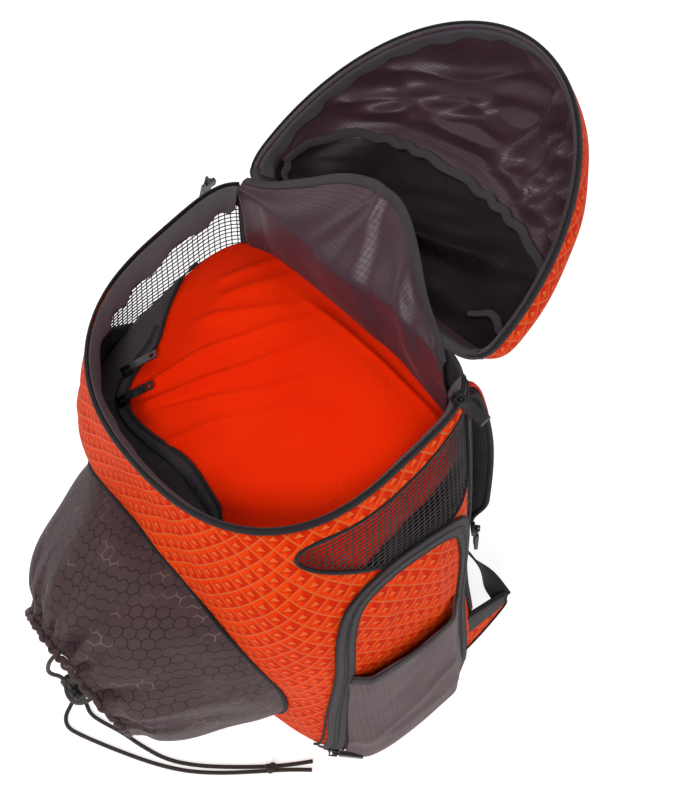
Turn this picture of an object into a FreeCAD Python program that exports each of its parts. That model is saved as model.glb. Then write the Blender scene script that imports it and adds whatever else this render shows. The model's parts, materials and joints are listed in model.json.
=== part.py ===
"""Open daypack with a stuffed-ball front pocket, a domed zip lid and two side pockets.

Frame: millimetres, +Z up, origin at the middle of the base. -Y is the front, +Y the back
panel that lies against the wearer, +X the wearer's right.
"""
import FreeCAD, Part
import os
from math import copysign, cos, hypot, pi, radians, sin, tan

import Sketcher

Vector = FreeCAD.Vector
X_AXIS = Vector(1, 0, 0)
Y_AXIS = Vector(0, 1, 0)
Z_AXIS = Vector(0, 0, 1)

os.makedirs("parts", exist_ok=True)
doc = FreeCAD.newDocument("daypack")

# Driving dimensions: lengths in millimetres, angles in degrees, powers without a unit.
DIMENSIONS = {
    # main bag: half width, front and back depth and corner power at each level
    "foot_level": 0, "foot_half": 138, "foot_front": -86, "foot_back": 86, "foot_power": 3.2,
    "heel_level": 30, "heel_half": 157, "heel_front": -103, "heel_back": 100, "heel_power": 3.4,
    "waist_level": 150, "waist_half": 163, "waist_front": -118, "waist_back": 103, "waist_power": 3.8,
    "chest_level": 280, "chest_half": 164, "chest_front": -128, "chest_back": 101, "chest_power": 4.4,
    "rim_half": 150, "rim_front": -118, "rim_back": 100, "rim_middle": 7,
    "rim_front_power": 2.35, "rim_back_power": 6.2,
    "hinge_depth": 91, "hinge_height": 462, "rim_tilt": 12.9,
    "wall": 4, "layer_gap": 0.3, "tape_thickness": 3, "front_seam": -80, "back_seam": 78,
    # lid
    "lid_angle": 150, "lid_wall": 3,
    "lid_gusset": 35, "lid_tape": 8, "flap_thickness": 1.5, "flap_lean": 17,
    # divider and back sleeve
    "divider_radius": 500, "divider_tilt": 19, "divider_top": 390, "divider_thickness": 4,
    "divider_tape": 34, "sleeve_half": 112, "sleeve_bottom": 330,
    # ball pocket
    "ball_across": -20, "ball_depth": -127, "ball_height": 181, "ball_radius": 122,
    "well_thickness": 2.5, "pocket_thickness": 2.5,
    "mouth_height": 167, "mouth_depth": -228, "mouth_radius": 71.7, "mouth_tilt": 7.5,
    "hem_radius": 3.5,
    # bottle pouch
    "pouch_depth": 8, "pouch_wall": 2, "pouch_hem_depth": 10,
    # straps and webbing
    "strap_width": 66, "strap_middle": 93, "strap_thickness": 11,
    "webbing_width": 20, "webbing_thickness": 1.8,
    "ladder_width": 30, "ladder_height": 26, "ladder_thickness": 4,
    "ladder_slot_width": 22, "ladder_slot_height": 5, "ladder_slot_start": 3,
    "haul_half": 34, "haul_rise": 20, "haul_width": 22, "haul_height": 392,
    "pad_thickness": 10, "pad_inner": 12, "pad_outer": 54, "pad_bottom": 70, "pad_top": 385,
    # zip hardware
    "slider_size": 10, "slider_corner": 2.2, "slider_height": 3.2, "crown_thickness": 2, "crown_length": 7.8,
    "crown_rise": 4.1, "crown_gap": 5.4, "crown_opening": 3,
    "eye_outer": 6.6, "eye_inner": 4.2, "eye_bar": 1.6, "eye_reach": 5.4,
    "pull_width": 9, "pull_length": 22, "pull_thickness": 3,
    "metal_width": 7.5, "metal_length": 27, "metal_thickness": 1.6, "metal_hole": 2.3,
    # drawcord and its lock
    "cord_diameter": 4, "lock_diameter": 15, "lock_length": 22, "lock_bore": 11.6,
    "lock_bore_depth": 18.5, "lock_slot_width": 9.6, "lock_slot_length": 4.8, "lock_cord_level": 14,
    "lock_across": -88, "lock_depth": -238, "lock_height": 24,
    "button_diameter": 11, "button_length": 20, "button_start": 8.5, "button_slot_length": 10,
    "button_slot_level": 8, "knot_radius": 6,
}

sheet = doc.addObject("Spreadsheet::Sheet", "Dimensions")
for row, (alias, value) in enumerate(DIMENSIONS.items(), start=1):
    sheet.set(f"A{row}", alias)
    sheet.set(f"B{row}", str(value))
    sheet.setAlias(f"B{row}", alias)
doc.recompute()


def size(alias):
    """Value of a driving dimension, read from the sheet."""
    return float(sheet.get(alias))


NODES = []


# ---------------------------------------------------------------- document helpers
def keep(name, shape, placement=None):
    """Part::Feature that holds a soft piece's shape under its own label."""
    feature = doc.addObject("Part::Feature", name)
    feature.Shape = shape
    if placement is not None:
        feature.Placement = placement
    feature.Label = name
    NODES.append(feature)
    return feature


def new_body(name):
    """PartDesign body that becomes a node."""
    body = doc.addObject("PartDesign::Body", name)
    body.Label = name
    NODES.append(body)
    return body


def sketch_on(body, role, name, lift=0.0):
    """Sketch on one of the body's own origin planes, lifted along its normal."""
    sketch = body.newObject("Sketcher::SketchObject", name)
    plane = next(item for item in body.Origin.OriginFeatures if item.Role == role)
    sketch.AttachmentSupport = [(plane, "")]
    sketch.MapMode = "FlatFace"
    sketch.AttachmentOffset = FreeCAD.Placement(Vector(0, 0, lift), FreeCAD.Rotation())
    return sketch


def add_rectangle(sketch, left, bottom, width, height):
    """Closed rectangle; each argument is an expression on the sheet."""
    x, y, w, h = (float(sheet.evalExpression(text)) for text in (left, bottom, width, height))
    corners = [Vector(x, y, 0), Vector(x + w, y, 0), Vector(x + w, y + h, 0), Vector(x, y + h, 0)]
    first = sketch.GeometryCount
    for index in range(4):
        sketch.addGeometry(Part.LineSegment(corners[index], corners[(index + 1) % 4]), False)
    for index in range(4):
        sketch.addConstraint(Sketcher.Constraint("Coincident", first + index, 2,
                                                 first + (index + 1) % 4, 1))
    for index in range(4):
        way = "Horizontal" if index % 2 == 0 else "Vertical"
        sketch.addConstraint(Sketcher.Constraint(way, first + index))
    for kind, start, end, text, value in (
            ("DistanceX", (-1, 1), (first, 1), left, x), ("DistanceY", (-1, 1), (first, 1), bottom, y),
            ("DistanceX", (first, 1), (first, 2), width, w),
            ("DistanceY", (first + 1, 1), (first + 1, 2), height, h)):
        number = sketch.addConstraint(Sketcher.Constraint(kind, *start, *end, value))
        sketch.setExpression(f"Constraints[{number}]", text)


def add_circle(sketch, across, up, radius):
    """Circle with its centre on the sketch's own axes."""
    first = sketch.addGeometry(Part.Circle(Vector(across, up, 0), Z_AXIS, 1.0), False)
    number = sketch.addConstraint(Sketcher.Constraint("Radius", first, 1.0))
    sketch.setExpression(f"Constraints[{number}]", radius)


def add_pad(body, sketch, length, both_ways=False):
    """Pad whose length is an expression on the sheet."""
    pad = body.newObject("PartDesign::Pad", sketch.Name + "_pad")
    pad.Profile = sketch
    pad.setExpression("Length", length)
    pad.Midplane = both_ways
    sketch.Visibility = False
    return pad


def add_pocket(body, sketch, length, both_ways=False, turned=False):
    """Pocket that must take material away."""
    before = body.Tip.Shape.Volume
    pocket = body.newObject("PartDesign::Pocket", sketch.Name + "_pocket")
    pocket.Profile = sketch
    pocket.setExpression("Length", length)
    pocket.Midplane = both_ways
    pocket.Reversed = turned
    doc.recompute()
    if pocket.Shape.Volume > before - 1e-3:
        raise RuntimeError(f"{sketch.Name} cuts nothing")
    return pocket


# ---------------------------------------------------------------- geometry helpers
def block(low, high):
    """Box between two corners."""
    sides = [high[axis] - low[axis] for axis in range(3)]
    return Part.makeBox(*sides, Vector(*low))


FAR = 900.0
OUTLINE_POINTS = 48
FINE_POINTS = 720


def signed_power(value, power):
    """Power of the size, with the sign kept."""
    return copysign(abs(value) ** power, value)


def spaced_evenly(points, count):
    """Points at equal distances round a fine closed outline."""
    reach = [0.0]
    for (x0, y0), (x1, y1) in zip(points, points[1:] + points[:1]):
        reach.append(reach[-1] + hypot(x1 - x0, y1 - y0))
    spaced = []
    index = 0
    for step in range(count):
        goal = reach[-1] * step / count
        while reach[index + 1] < goal:
            index += 1
        share = (goal - reach[index]) / (reach[index + 1] - reach[index])
        x0, y0 = points[index]
        x1, y1 = points[(index + 1) % len(points)]
        spaced.append((x0 + (x1 - x0) * share, y0 + (y1 - y0) * share))
    return spaced


def ring_points(half, front, back, middle, front_power, back_power, growth=0.0):
    """Closed outline that is a superellipse in front of its widest line and another behind it."""
    points = []
    for step in range(FINE_POINTS):
        turn = 2 * pi * step / FINE_POINTS
        behind = step <= FINE_POINTS / 2
        power = back_power if behind else front_power
        depth = (back - middle if behind else middle - front) + growth
        points.append((signed_power(cos(turn), 2 / power) * (half + growth),
                       middle + signed_power(sin(turn), 2 / power) * depth))
    return spaced_evenly(points, OUTLINE_POINTS)


def closed_curve(points):
    """Smooth closed wire guided by points, with the same knots for every outline."""
    curve = Part.BSplineCurve()
    curve.buildFromPoles(points, True, 3)
    return Part.Wire([curve.toShape()])


def rim_height(depth):
    """Height of the tilted rim plane at a depth."""
    return size("hinge_height") + (depth - size("hinge_depth")) * tan(radians(size("rim_tilt")))


def bag_form(growth, lift=0.0):
    """Solid inside the bag's outline grown by growth, up to the rim plane, or past it by lift."""
    wires = []
    for level in ("foot", "heel", "waist", "chest"):
        front, back = size(level + "_front"), size(level + "_back")
        power = size(level + "_power")
        outline = ring_points(size(level + "_half"), front, back, (front + back) / 2, power, power,
                              growth)
        height = size(level + "_level")
        wires.append(closed_curve([Vector(x, y, height) for x, y in outline]))
    rim = ring_points(size("rim_half"), size("rim_front"), size("rim_back"), size("rim_middle"),
                      size("rim_front_power"), size("rim_back_power"), growth)
    wires.append(closed_curve([Vector(x, y, rim_height(y)) for x, y in rim]))
    if lift:
        wires.append(closed_curve([Vector(x, y, rim_height(y) + lift) for x, y in rim]))
    return Part.makeLoft(wires, True, False)


LIFT = 40.0
FORMS = {}


def form(growth):
    """Bag outline grown by growth and carried past the rim, made once."""
    if growth not in FORMS:
        FORMS[growth] = bag_form(growth, LIFT)
    return FORMS[growth]


def layer(inner, outer):
    """Skin between two growths of the bag outline."""
    return form(outer).cut(form(inner))


def rim_slab(low, high):
    """Everything between two heights measured square to the rim plane."""
    slab = block((-FAR, -FAR, low), (FAR, FAR, high))
    slab.rotate(Vector(), X_AXIS, size("rim_tilt"))
    slab.translate(Vector(0, size("hinge_depth"), size("hinge_height")))
    return slab


def side_prism(points, low, high, smooth=False):
    """Prism along X over an outline given as (depth, height) points, from x = low to x = high."""
    corners = [Vector(low, y, z) for y, z in points]
    if smooth:
        wire = closed_curve(corners)
    else:
        wire = Part.makePolygon(corners + corners[:1])
    return Part.Face(wire).extrude(Vector(high - low, 0, 0))


def biggest(shape):
    """The largest solid of a boolean's result."""
    return max(shape.Solids, key=lambda solid: solid.Volume)


def frame_at(origin, y_way, z_way):
    """Placement whose local Y and Z axes point the given ways."""
    z_axis = Vector(z_way).normalize()
    x_axis = Vector(y_way).cross(z_axis).normalize()
    y_axis = z_axis.cross(x_axis)
    return FreeCAD.Placement(Vector(origin), FreeCAD.Rotation(x_axis, y_axis, z_axis, "ZYX"))


def side_reach(side, depth, height, growth):
    """Point of the grown outline's right or left side at a depth and height."""
    line = Part.makeLine(Vector(0, depth, height), Vector(side * FAR, depth, height))
    inside = line.common(form(growth)).BoundBox
    return Vector(inside.XMax if side > 0 else inside.XMin, depth, height)


def side_normal(side, depth, height, growth):
    """Outward direction of the grown outline's side there."""
    step = 4.0
    point = side_reach(side, depth, height, growth)
    along = side_reach(side, depth + step, height, growth) - point
    above = side_reach(side, depth, height + step, growth) - point
    return along.cross(above).normalize() * side


# ---------------------------------------------------------------- main bag
SIDES = {"right": 1, "left": -1}
WINDOW = [(-84, 394), (-62, 411), (-36, 412), (8, 416), (46, 429), (80, 446), (92, 430), (92, 385),
          (84, 348), (44, 332), (5, 334), (-25, 353), (-53, 375)]
ARCH = [(-90, 40), (-82, 130), (-68, 235), (-62, 300), (-50, 330), (-20, 341), (18, 337), (48, 331),
        (62, 310), (66, 250), (58, 170), (51, 85), (48, 40)]
ARCH_BAND = 6.5


def arch_prisms():
    """Prisms over the side pocket's panel and over the zip that runs round it."""
    middle = Vector(0, 0, 170)
    prisms = []
    for offset in (-ARCH_BAND, ARCH_BAND):
        outline = []
        for y, z in ARCH:
            away = Vector(0, y, z) - middle
            share = 1 + offset / away.Length
            outline.append((away.y * share, middle.z + away.z * share))
        prisms.append(side_prism(outline, -FAR, FAR))
    return prisms


def make_bag():
    """Front, side, back and base panels, the mesh windows, the rim zip and its facing."""
    wall, tape = size("wall"), size("lid_tape")
    below = rim_slab(-FAR, -tape)
    upper = block((-FAR, -FAR, wall), (FAR, FAR, FAR)).common(below)
    skin = layer(-wall, 0).common(upper)
    front = block((-FAR, -FAR, 0), (FAR, size("front_seam"), FAR))
    back = block((-FAR, size("back_seam"), 0), (FAR, FAR, FAR))
    centre = Vector(size("ball_across"), size("ball_depth"), size("ball_height"))
    ball = Part.makeSphere(size("ball_radius") + size("well_thickness"), centre)
    keep("front_panel", biggest(skin.common(front).cut(ball)))
    keep("back_panel", biggest(skin.common(back)))
    keep("base_panel", form(0).common(block((-FAR, -FAR, 0), (FAR, FAR, wall))))
    window = side_prism(WINDOW, -FAR, FAR, smooth=True)
    middle = block((-FAR, size("front_seam"), 0), (FAR, size("back_seam"), FAR))
    thin = layer(-wall + 1, -1).common(window).common(middle)
    for name, side in SIDES.items():
        half = block((min(0, side * FAR), -FAR, 0), (max(0, side * FAR), FAR, FAR))
        panel = skin.common(middle).common(half)
        keep(f"side_panel_{name}", biggest(panel.cut(window)))
        keep(f"mesh_window_{name}", biggest(thin.common(half)))
    zip_part = block((-FAR, -FAR, 0), (FAR, size("back_seam"), FAR))
    keep("rim_zip", biggest(layer(-wall - 1, 1).common(rim_slab(-tape, 0)).common(zip_part)))
    gap = size("layer_gap")
    facing = layer(-wall - gap - 2, -wall - gap).common(rim_slab(-32, -tape)).common(zip_part)
    keep("rim_facing", biggest(facing))


DIVIDER_ZIP_THICKNESS = 2.2


def divider_ball(thickness):
    """Sphere whose cap is the bulging divider, less or plus a thickness."""
    tilt = radians(size("divider_tilt"))
    radius = size("divider_radius")
    top = Vector(0, -15, size("divider_top"))
    centre = top - Vector(0, -sin(tilt), cos(tilt)) * radius
    return Part.makeSphere(radius + thickness, centre, Z_AXIS, -10, 90, 360)


def make_inside():
    """Knit divider that closes the lower compartment, its zip tape, and the back sleeve."""
    wall, gap, tape = size("wall"), size("layer_gap"), size("lid_tape")
    room = form(-wall - gap)
    cap = divider_ball(0).cut(divider_ball(-size("divider_thickness"))).common(room)
    half = size("sleeve_half")
    behind = block((-half, 60, size("sleeve_bottom")), (half, FAR, FAR))
    sleeve = layer(-wall - gap - 3, -wall - gap).common(behind).common(rim_slab(-FAR, -tape - 2))
    keep("back_sleeve", biggest(sleeve))
    keep("divider_panel", biggest(cap.cut(sleeve)))
    band = room.cut(form(-wall - gap - size("divider_tape")))
    left_front = block((-FAR, -FAR, 0), (95, -30, FAR))
    strip = divider_ball(2 * gap + DIVIDER_ZIP_THICKNESS).cut(divider_ball(2 * gap))
    keep("divider_zip", biggest(strip.common(band).common(left_front).cut(sleeve)))


def make_side_pockets():
    """Zipped side pockets, each with an arch of zip, a puffed panel and a stretch pouch."""
    gap = size("layer_gap")
    inner, outer = arch_prisms()
    low = block((-FAR, -FAR, 34), (FAR, FAR, FAR))
    panels = layer(gap, gap + 2).common(inner).common(low)
    zips = layer(gap, gap + size("tape_thickness")).common(outer.cut(inner)).common(
        block((-FAR, -FAR, 48), (FAR, FAR, FAR)))
    pouch_outline = [(-50, 30), (-64, 224), (-30, 208), (8, 193), (47, 190), (44, 30)]
    inset = [(-47.5, 32.5), (-61.5, 300), (44.5, 300), (41.5, 32.5)]
    hem_depth = size("pouch_hem_depth")
    hem_low = [(-63.3, 224 - hem_depth), (-30, 208 - hem_depth), (8, 193 - hem_depth),
               (46.4, 190 - hem_depth)]
    hem_outline = [(-64, 224), (-30, 208), (8, 193), (47, 190)] + hem_low[::-1]
    below_hem = [(-50, 30)] + hem_low + [(44, 30)]
    start = gap + size("tape_thickness") + gap
    depth, thick = size("pouch_depth"), size("pouch_wall")
    tray = layer(start, start + depth + thick).common(side_prism(below_hem, -FAR, FAR))
    tray = tray.cut(form(start + depth).common(side_prism(inset, -FAR, FAR)))
    hems = layer(start + depth, start + depth + thick + 1).common(side_prism(hem_outline, -FAR, FAR))
    for name, side in SIDES.items():
        half = block((min(0, side * FAR), -FAR, 0), (max(0, side * FAR), FAR, FAR))
        keep(f"side_pocket_{name}", biggest(panels.common(half)))
        keep(f"side_zip_{name}", biggest(zips.common(half)))
        keep(f"bottle_pouch_{name}", biggest(tray.common(half)))
        keep(f"pouch_hem_{name}", biggest(hems.common(half)))


# ---------------------------------------------------------------- ball pocket
# Depth, middle across, half width, bottom, widest and top height, lower and upper corner power.
POCKET_OUTLINES = [
    (-110, -14, 136, 50, 190, 308, 2.2, 2.8),
    (-134, -16, 131, 53, 186, 308, 2.1, 2.4),
    (-160, -19, 120, 60, 181, 303, 2.0, 2.1),
    (-190, -20, 107, 74, 181, 288, 2.0, 2.0),
    (-216, -20, 87, 94, 181, 268, 2.0, 2.0),
    (-240, -20, 51, 130, 181, 232, 2.0, 2.0),
]


def pocket_form(growth):
    """Solid inside the ball pocket's fabric."""
    wires = []
    for depth, across, half, low, widest, high, low_power, high_power in POCKET_OUTLINES:
        outline = ring_points(half, low, high, widest, low_power, high_power, growth)
        wires.append(closed_curve([Vector(across + x, depth, z) for x, z in outline]))
    return Part.makeLoft(wires, True, False)


def mouth_frame():
    """Placement of the pocket's mouth: origin in its middle, local Z out of it."""
    tilt = radians(size("mouth_tilt"))
    way = Vector(0, -cos(tilt), -sin(tilt))
    middle = Vector(size("ball_across"), size("mouth_depth"), size("mouth_height"))
    return frame_at(middle, Z_AXIS, way)


def make_ball_pocket():
    """Pocket fabric with its drawcord hem, and the rounded well behind it inside the bag."""
    gap = size("layer_gap")
    thickness = size("pocket_thickness")
    frame = mouth_frame()
    hem = doc.addObject("Part::Torus", "ball_pocket_hem")
    hem.setExpression("Radius1", "Dimensions.mouth_radius")
    hem.setExpression("Radius2", "Dimensions.hem_radius")
    hem.Placement = frame
    hem.Label = "ball_pocket_hem"
    NODES.append(hem)
    doc.recompute()
    outside = block((-FAR, -FAR, 0), (FAR, FAR, FAR))
    outside.Placement = frame
    fabric = pocket_form(0).cut(pocket_form(-thickness)).cut(outside).cut(form(gap))
    keep("ball_pocket", biggest(fabric.cut(hem.Shape)))
    centre = Vector(size("ball_across"), size("ball_depth"), size("ball_height"))
    radius = size("ball_radius")
    ball = Part.makeSphere(radius, centre)
    well = Part.makeSphere(radius + size("well_thickness") - gap, centre).cut(ball)
    keep("ball_well", biggest(well.common(form(-gap))))


# ---------------------------------------------------------------- lid
# Depth below the lid's edge plane, half width, back and front distance from the hinge.
LID_OUTLINES = [
    (0, 137.5, 3.0, 216.5),
    (20, 137.5, 9.0, 215.5),
    (44, 126.0, 17.0, 203.0),
    (60, 100.0, 32.0, 180.0),
    (67, 70.0, 54.0, 152.0),
]
LID_CORNER = 30.0
LID_FRONT_POWER = 1.98
LID_BACK_POWER = 7.0


# Arched flap of the back wall beyond the hinge line, as distances across and along it.
FLAP_OUTLINE = [(-124, 1), (-104, 8), (-72, 27), (-38, 52), (-5, 65), (28, 58), (62, 34), (88, 12), (106, 1),
                (60, 0), (0, 0), (-70, 0)]
FLAP_START = Vector(0, 9, 0.8)


def lid_form(growth, lead=0.0):
    """Solid inside the lid's dome in the lid's own frame, with its open side extended by lead."""
    wires = []
    for index, (depth, half, back, front) in enumerate(LID_OUTLINES):
        outline = ring_points(half, -front, -back, -back - LID_CORNER, LID_FRONT_POWER,
                              LID_BACK_POWER, growth)
        last = index == len(LID_OUTLINES) - 1
        drop = depth + (growth if last else 0)
        if index == 0 and lead:
            wires.append(closed_curve([Vector(x, -y, lead) for x, y in outline]))
        wires.append(closed_curve([Vector(x, -y, -drop) for x, y in outline]))
    return Part.makeLoft(wires, True, False)


def lid_frame():
    """Placement of the open lid: local Y away from the hinge, local -Z into the dome."""
    hinge = Vector(0, size("hinge_depth"), size("hinge_height"))
    return FreeCAD.Placement(hinge, FreeCAD.Rotation(X_AXIS, 180 - size("lid_angle")))


def make_lid():
    """Lid tape, gusset, top panel and lining."""
    frame = lid_frame()
    wall, tape, gusset = size("lid_wall"), size("lid_tape"), size("lid_gusset")
    gap = size("layer_gap")
    lead = 12.0
    skin = lid_form(0).cut(lid_form(-wall, lead))
    band = block((-FAR, -FAR, -gusset), (FAR, FAR, -tape))
    fold = block((-FAR, -FAR, -gusset), (FAR, tape, 0))
    keep("lid_gusset", biggest(skin.common(band.fuse(fold).removeSplitter())), frame)
    top = block((-FAR, -FAR, -FAR), (FAR, FAR, -gusset))
    keep("lid_top_panel", biggest(skin.common(top)), frame)
    edge = lid_form(0.8).cut(lid_form(-wall - 1, lead))
    keep("lid_zip", biggest(edge.common(block((-FAR, tape, -tape), (FAR, FAR, 0)))), frame)
    lining = lid_form(-wall - gap).cut(lid_form(-wall - gap - 1.5, lead)).cut(skin)
    keep("lid_lining", biggest(lining.common(block((-FAR, -FAR, -FAR), (FAR, FAR, -tape - gap)))),
         frame)
    flap = Part.Face(closed_curve([Vector(*point, 0) for point in FLAP_OUTLINE]))
    flap = flap.extrude(Vector(0, 0, size("flap_thickness")))
    lean = FreeCAD.Placement(FLAP_START, FreeCAD.Rotation(X_AXIS, size("flap_lean")))
    keep("hinge_flap", flap, frame.multiply(lean))


# ---------------------------------------------------------------- carrying straps
def band_profile(centre_line, thickness):
    """Face of constant thickness round a centre line given as (depth, height) points."""
    curve = Part.BSplineCurve()
    curve.interpolate(Points=[Vector(0, y, z) for y, z in centre_line])
    samples = 12
    sides = [[], []]
    for step in range(samples + 1):
        value = curve.LastParameter * step / samples
        along = curve.tangent(value)[0]
        across = X_AXIS.cross(along).normalize() * thickness / 2
        sides[0].append(curve.value(value) + across)
        sides[1].append(curve.value(value) - across)
    edges = []
    for points in sides:
        edge = Part.BSplineCurve()
        edge.interpolate(Points=points)
        edges.append(edge.toShape())
    ends = [Part.makeLine(sides[0][index], sides[1][index]) for index in (0, -1)]
    return Part.Face(Part.Wire(Part.__sortEdges__(edges + ends)))


STRAP_LINE = [(96, 420), (111, 402), (122, 350), (125, 300), (121, 240), (114, 196)]
WING_OUTLINE = [(60, 118), (60, 46), (122, 74), (122, 96)]


def make_straps():
    """Shoulder straps, back pads, lower wings, webbing, ladder locks and haul loop."""
    gap = size("layer_gap")
    width, middle = size("strap_width"), size("strap_middle")
    strap = band_profile(STRAP_LINE, size("strap_thickness")).extrude(Vector(width, 0, 0))
    pads = layer(gap, gap + size("pad_thickness")).common(
        block((-FAR, size("back_seam") + 4, size("pad_bottom")), (FAR, FAR, size("pad_top"))))
    for name, side in SIDES.items():
        placed = strap.copy()
        placed.translate(Vector(side * middle - width / 2, 0, 0))
        keep(f"shoulder_strap_{name}", biggest(placed.cut(form(gap))))
        inner, outer = sorted((side * size("pad_inner"), side * size("pad_outer")))
        keep(f"back_pad_{name}", biggest(pads.common(block((inner, 0, 0), (outer, FAR, FAR)))))
        low, high = sorted((side * 146, side * 149))
        keep(f"strap_wing_{name}", biggest(side_prism(WING_OUTLINE, low, high).cut(form(gap))))
        make_ladder_lock(name, side)
    half, rise = size("haul_half"), size("haul_rise")
    width, thickness = size("haul_width"), size("webbing_thickness") + 0.7
    outer = Part.makeCylinder(1, width, Vector(), Z_AXIS)
    stretch = FreeCAD.Matrix()
    stretch.scale(Vector(half, rise, 1))
    hole = FreeCAD.Matrix()
    hole.scale(Vector(half - thickness, rise - thickness, 1))
    loop = outer.transformGeometry(stretch).cut(outer.transformGeometry(hole))
    loop.translate(Vector(0, size("rim_back") + 2, size("haul_height")))
    keep("haul_loop", biggest(loop.cut(form(gap))))


LADDER_TILT = 20.0
LADDER_DROP = 14.0
WEBBING_GAP = 0.5
WEBBING_END = Vector(147, 122.6, 85)


def make_ladder_lock(name, side):
    """Two-slot ladder lock at a strap's end, and the webbing from it to the wing."""
    body = new_body(f"ladder_lock_{name}")
    sketch = sketch_on(body, "XY_Plane", f"ladder_plate_{name}")
    add_rectangle(sketch, "-Dimensions.ladder_width / 2", "-Dimensions.ladder_height / 2",
                  "Dimensions.ladder_width", "Dimensions.ladder_height")
    add_pad(body, sketch, "Dimensions.ladder_thickness", both_ways=True)
    doc.recompute()
    slots = sketch_on(body, "XY_Plane", f"ladder_slots_{name}")
    for bottom in ("Dimensions.ladder_slot_start",
                   "-Dimensions.ladder_slot_start - Dimensions.ladder_slot_height"):
        add_rectangle(slots, "-Dimensions.ladder_slot_width / 2", bottom,
                      "Dimensions.ladder_slot_width", "Dimensions.ladder_slot_height")
    add_pocket(body, slots, "2 * Dimensions.ladder_thickness", both_ways=True)
    tilt = radians(LADDER_TILT)
    strap_end = Vector(side * size("strap_middle"), STRAP_LINE[-1][0], STRAP_LINE[-1][1])
    down = Vector(0, -sin(tilt), -cos(tilt))
    centre = strap_end + down * LADDER_DROP
    body.Placement = frame_at(centre, -down, Vector(0, cos(tilt), -sin(tilt)))
    start = centre + down * (size("ladder_height") / 2 + WEBBING_GAP)
    finish = Vector(side * WEBBING_END.x, WEBBING_END.y, WEBBING_END.z)
    run = finish - start
    webbing = doc.addObject("Part::Box", f"strap_webbing_{name}")
    webbing.setExpression("Length", "Dimensions.webbing_width")
    webbing.setExpression("Height", "Dimensions.webbing_thickness")
    webbing.Width = run.Length
    placed = frame_at(start, run, Y_AXIS)
    offset = Vector(-size("webbing_width") / 2, 0, -size("webbing_thickness") / 2)
    webbing.Placement = placed.multiply(FreeCAD.Placement(offset, FreeCAD.Rotation()))
    webbing.Label = f"strap_webbing_{name}"
    NODES.append(webbing)


BACK_ZIP_LOW = 110
BACK_ZIP_HIGH = 425


def make_back_zip():
    """Zip of the flat back compartment, down the right edge of the back panel."""
    gap = size("layer_gap")
    skin = layer(gap, gap + size("tape_thickness"))
    strip = block((0, 79, BACK_ZIP_LOW), (FAR, 89, BACK_ZIP_HIGH))
    keep("back_zip", biggest(skin.common(strip)))


# ---------------------------------------------------------------- zip hardware
def make_slider(name, place):
    """Zip slider: a block with a crown bridge, local Y along the lying pull, local Z outwards."""
    body = new_body(name)
    base = sketch_on(body, "XY_Plane", name + "_base")
    half = "-Dimensions.slider_size / 2"
    add_rectangle(base, half, half, "Dimensions.slider_size", "Dimensions.slider_size")
    add_pad(body, base, "Dimensions.slider_height")
    doc.recompute()
    solid = body.Tip
    upright = [f"Edge{index + 1}" for index, edge in enumerate(solid.Shape.Edges)
               if abs(edge.tangentAt(edge.FirstParameter).z) > 0.9]
    corners = body.newObject("PartDesign::Fillet", name + "_corners")
    corners.Base = (solid, upright)
    corners.setExpression("Radius", "Dimensions.slider_corner")
    doc.recompute()
    crown = sketch_on(body, "YZ_Plane", name + "_crown")
    add_rectangle(crown, "-Dimensions.crown_length / 2", "Dimensions.slider_height - 0.5",
                  "Dimensions.crown_length", "Dimensions.crown_rise + 0.5")
    add_pad(body, crown, "Dimensions.crown_thickness", both_ways=True)
    doc.recompute()
    arch = sketch_on(body, "YZ_Plane", name + "_arch")
    add_rectangle(arch, "-Dimensions.crown_gap / 2", "Dimensions.slider_height",
                  "Dimensions.crown_gap", "Dimensions.crown_opening")
    add_pocket(body, arch, "Dimensions.slider_size", both_ways=True)
    body.Placement = place


PULL_LEVEL = "Dimensions.slider_height + Dimensions.crown_opening / 2"


def make_pull(name, place, metal):
    """Zip pull: a square eye round the crown and a tab, flat metal with a hole or moulded."""
    body = new_body(name)
    kind = "metal" if metal else "pull"
    eye = sketch_on(body, "XY_Plane", name + "_eye")
    eye.setExpression(".AttachmentOffset.Base.z", PULL_LEVEL)
    bar = "Dimensions.eye_bar"
    add_rectangle(eye, "-Dimensions.eye_outer / 2", f"-{bar} / 2", "Dimensions.eye_outer",
                  f"Dimensions.eye_reach + {bar}")
    add_rectangle(eye, "-Dimensions.eye_inner / 2", f"{bar} / 2", "Dimensions.eye_inner",
                  f"Dimensions.eye_reach - {bar} / 2")
    add_pad(body, eye, bar, both_ways=True)
    tab = sketch_on(body, "XY_Plane", name + "_tab")
    tab.setExpression(".AttachmentOffset.Base.z", PULL_LEVEL)
    add_rectangle(tab, f"-Dimensions.{kind}_width / 2", f"Dimensions.eye_reach + {bar} / 4",
                  f"Dimensions.{kind}_width", f"Dimensions.{kind}_length")
    add_pad(body, tab, f"Dimensions.{kind}_thickness", both_ways=True)
    doc.recompute()
    if metal:
        hole = sketch_on(body, "XY_Plane", name + "_hole")
        hole_level = size("eye_reach") + size("metal_length") - 4
        add_circle(hole, 0, hole_level, "Dimensions.metal_hole")
        add_pocket(body, hole, "60", both_ways=True)
    body.Placement = place


RIDE = 0.5
RUN_STEP = 6.0
# Depth, height, way that the zip climbs and way that the pull lies, for each zip on a side.
SIDE_ZIPS = {
    "side_right": (1, -88, 60, Vector(0, 0.09, 1), Y_AXIS),
    "side_left": (-1, -69, 232, Vector(0, 0.1, 1), -Y_AXIS),
    "back": (1, 84, 262, Z_AXIS, -Z_AXIS),
}
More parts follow.
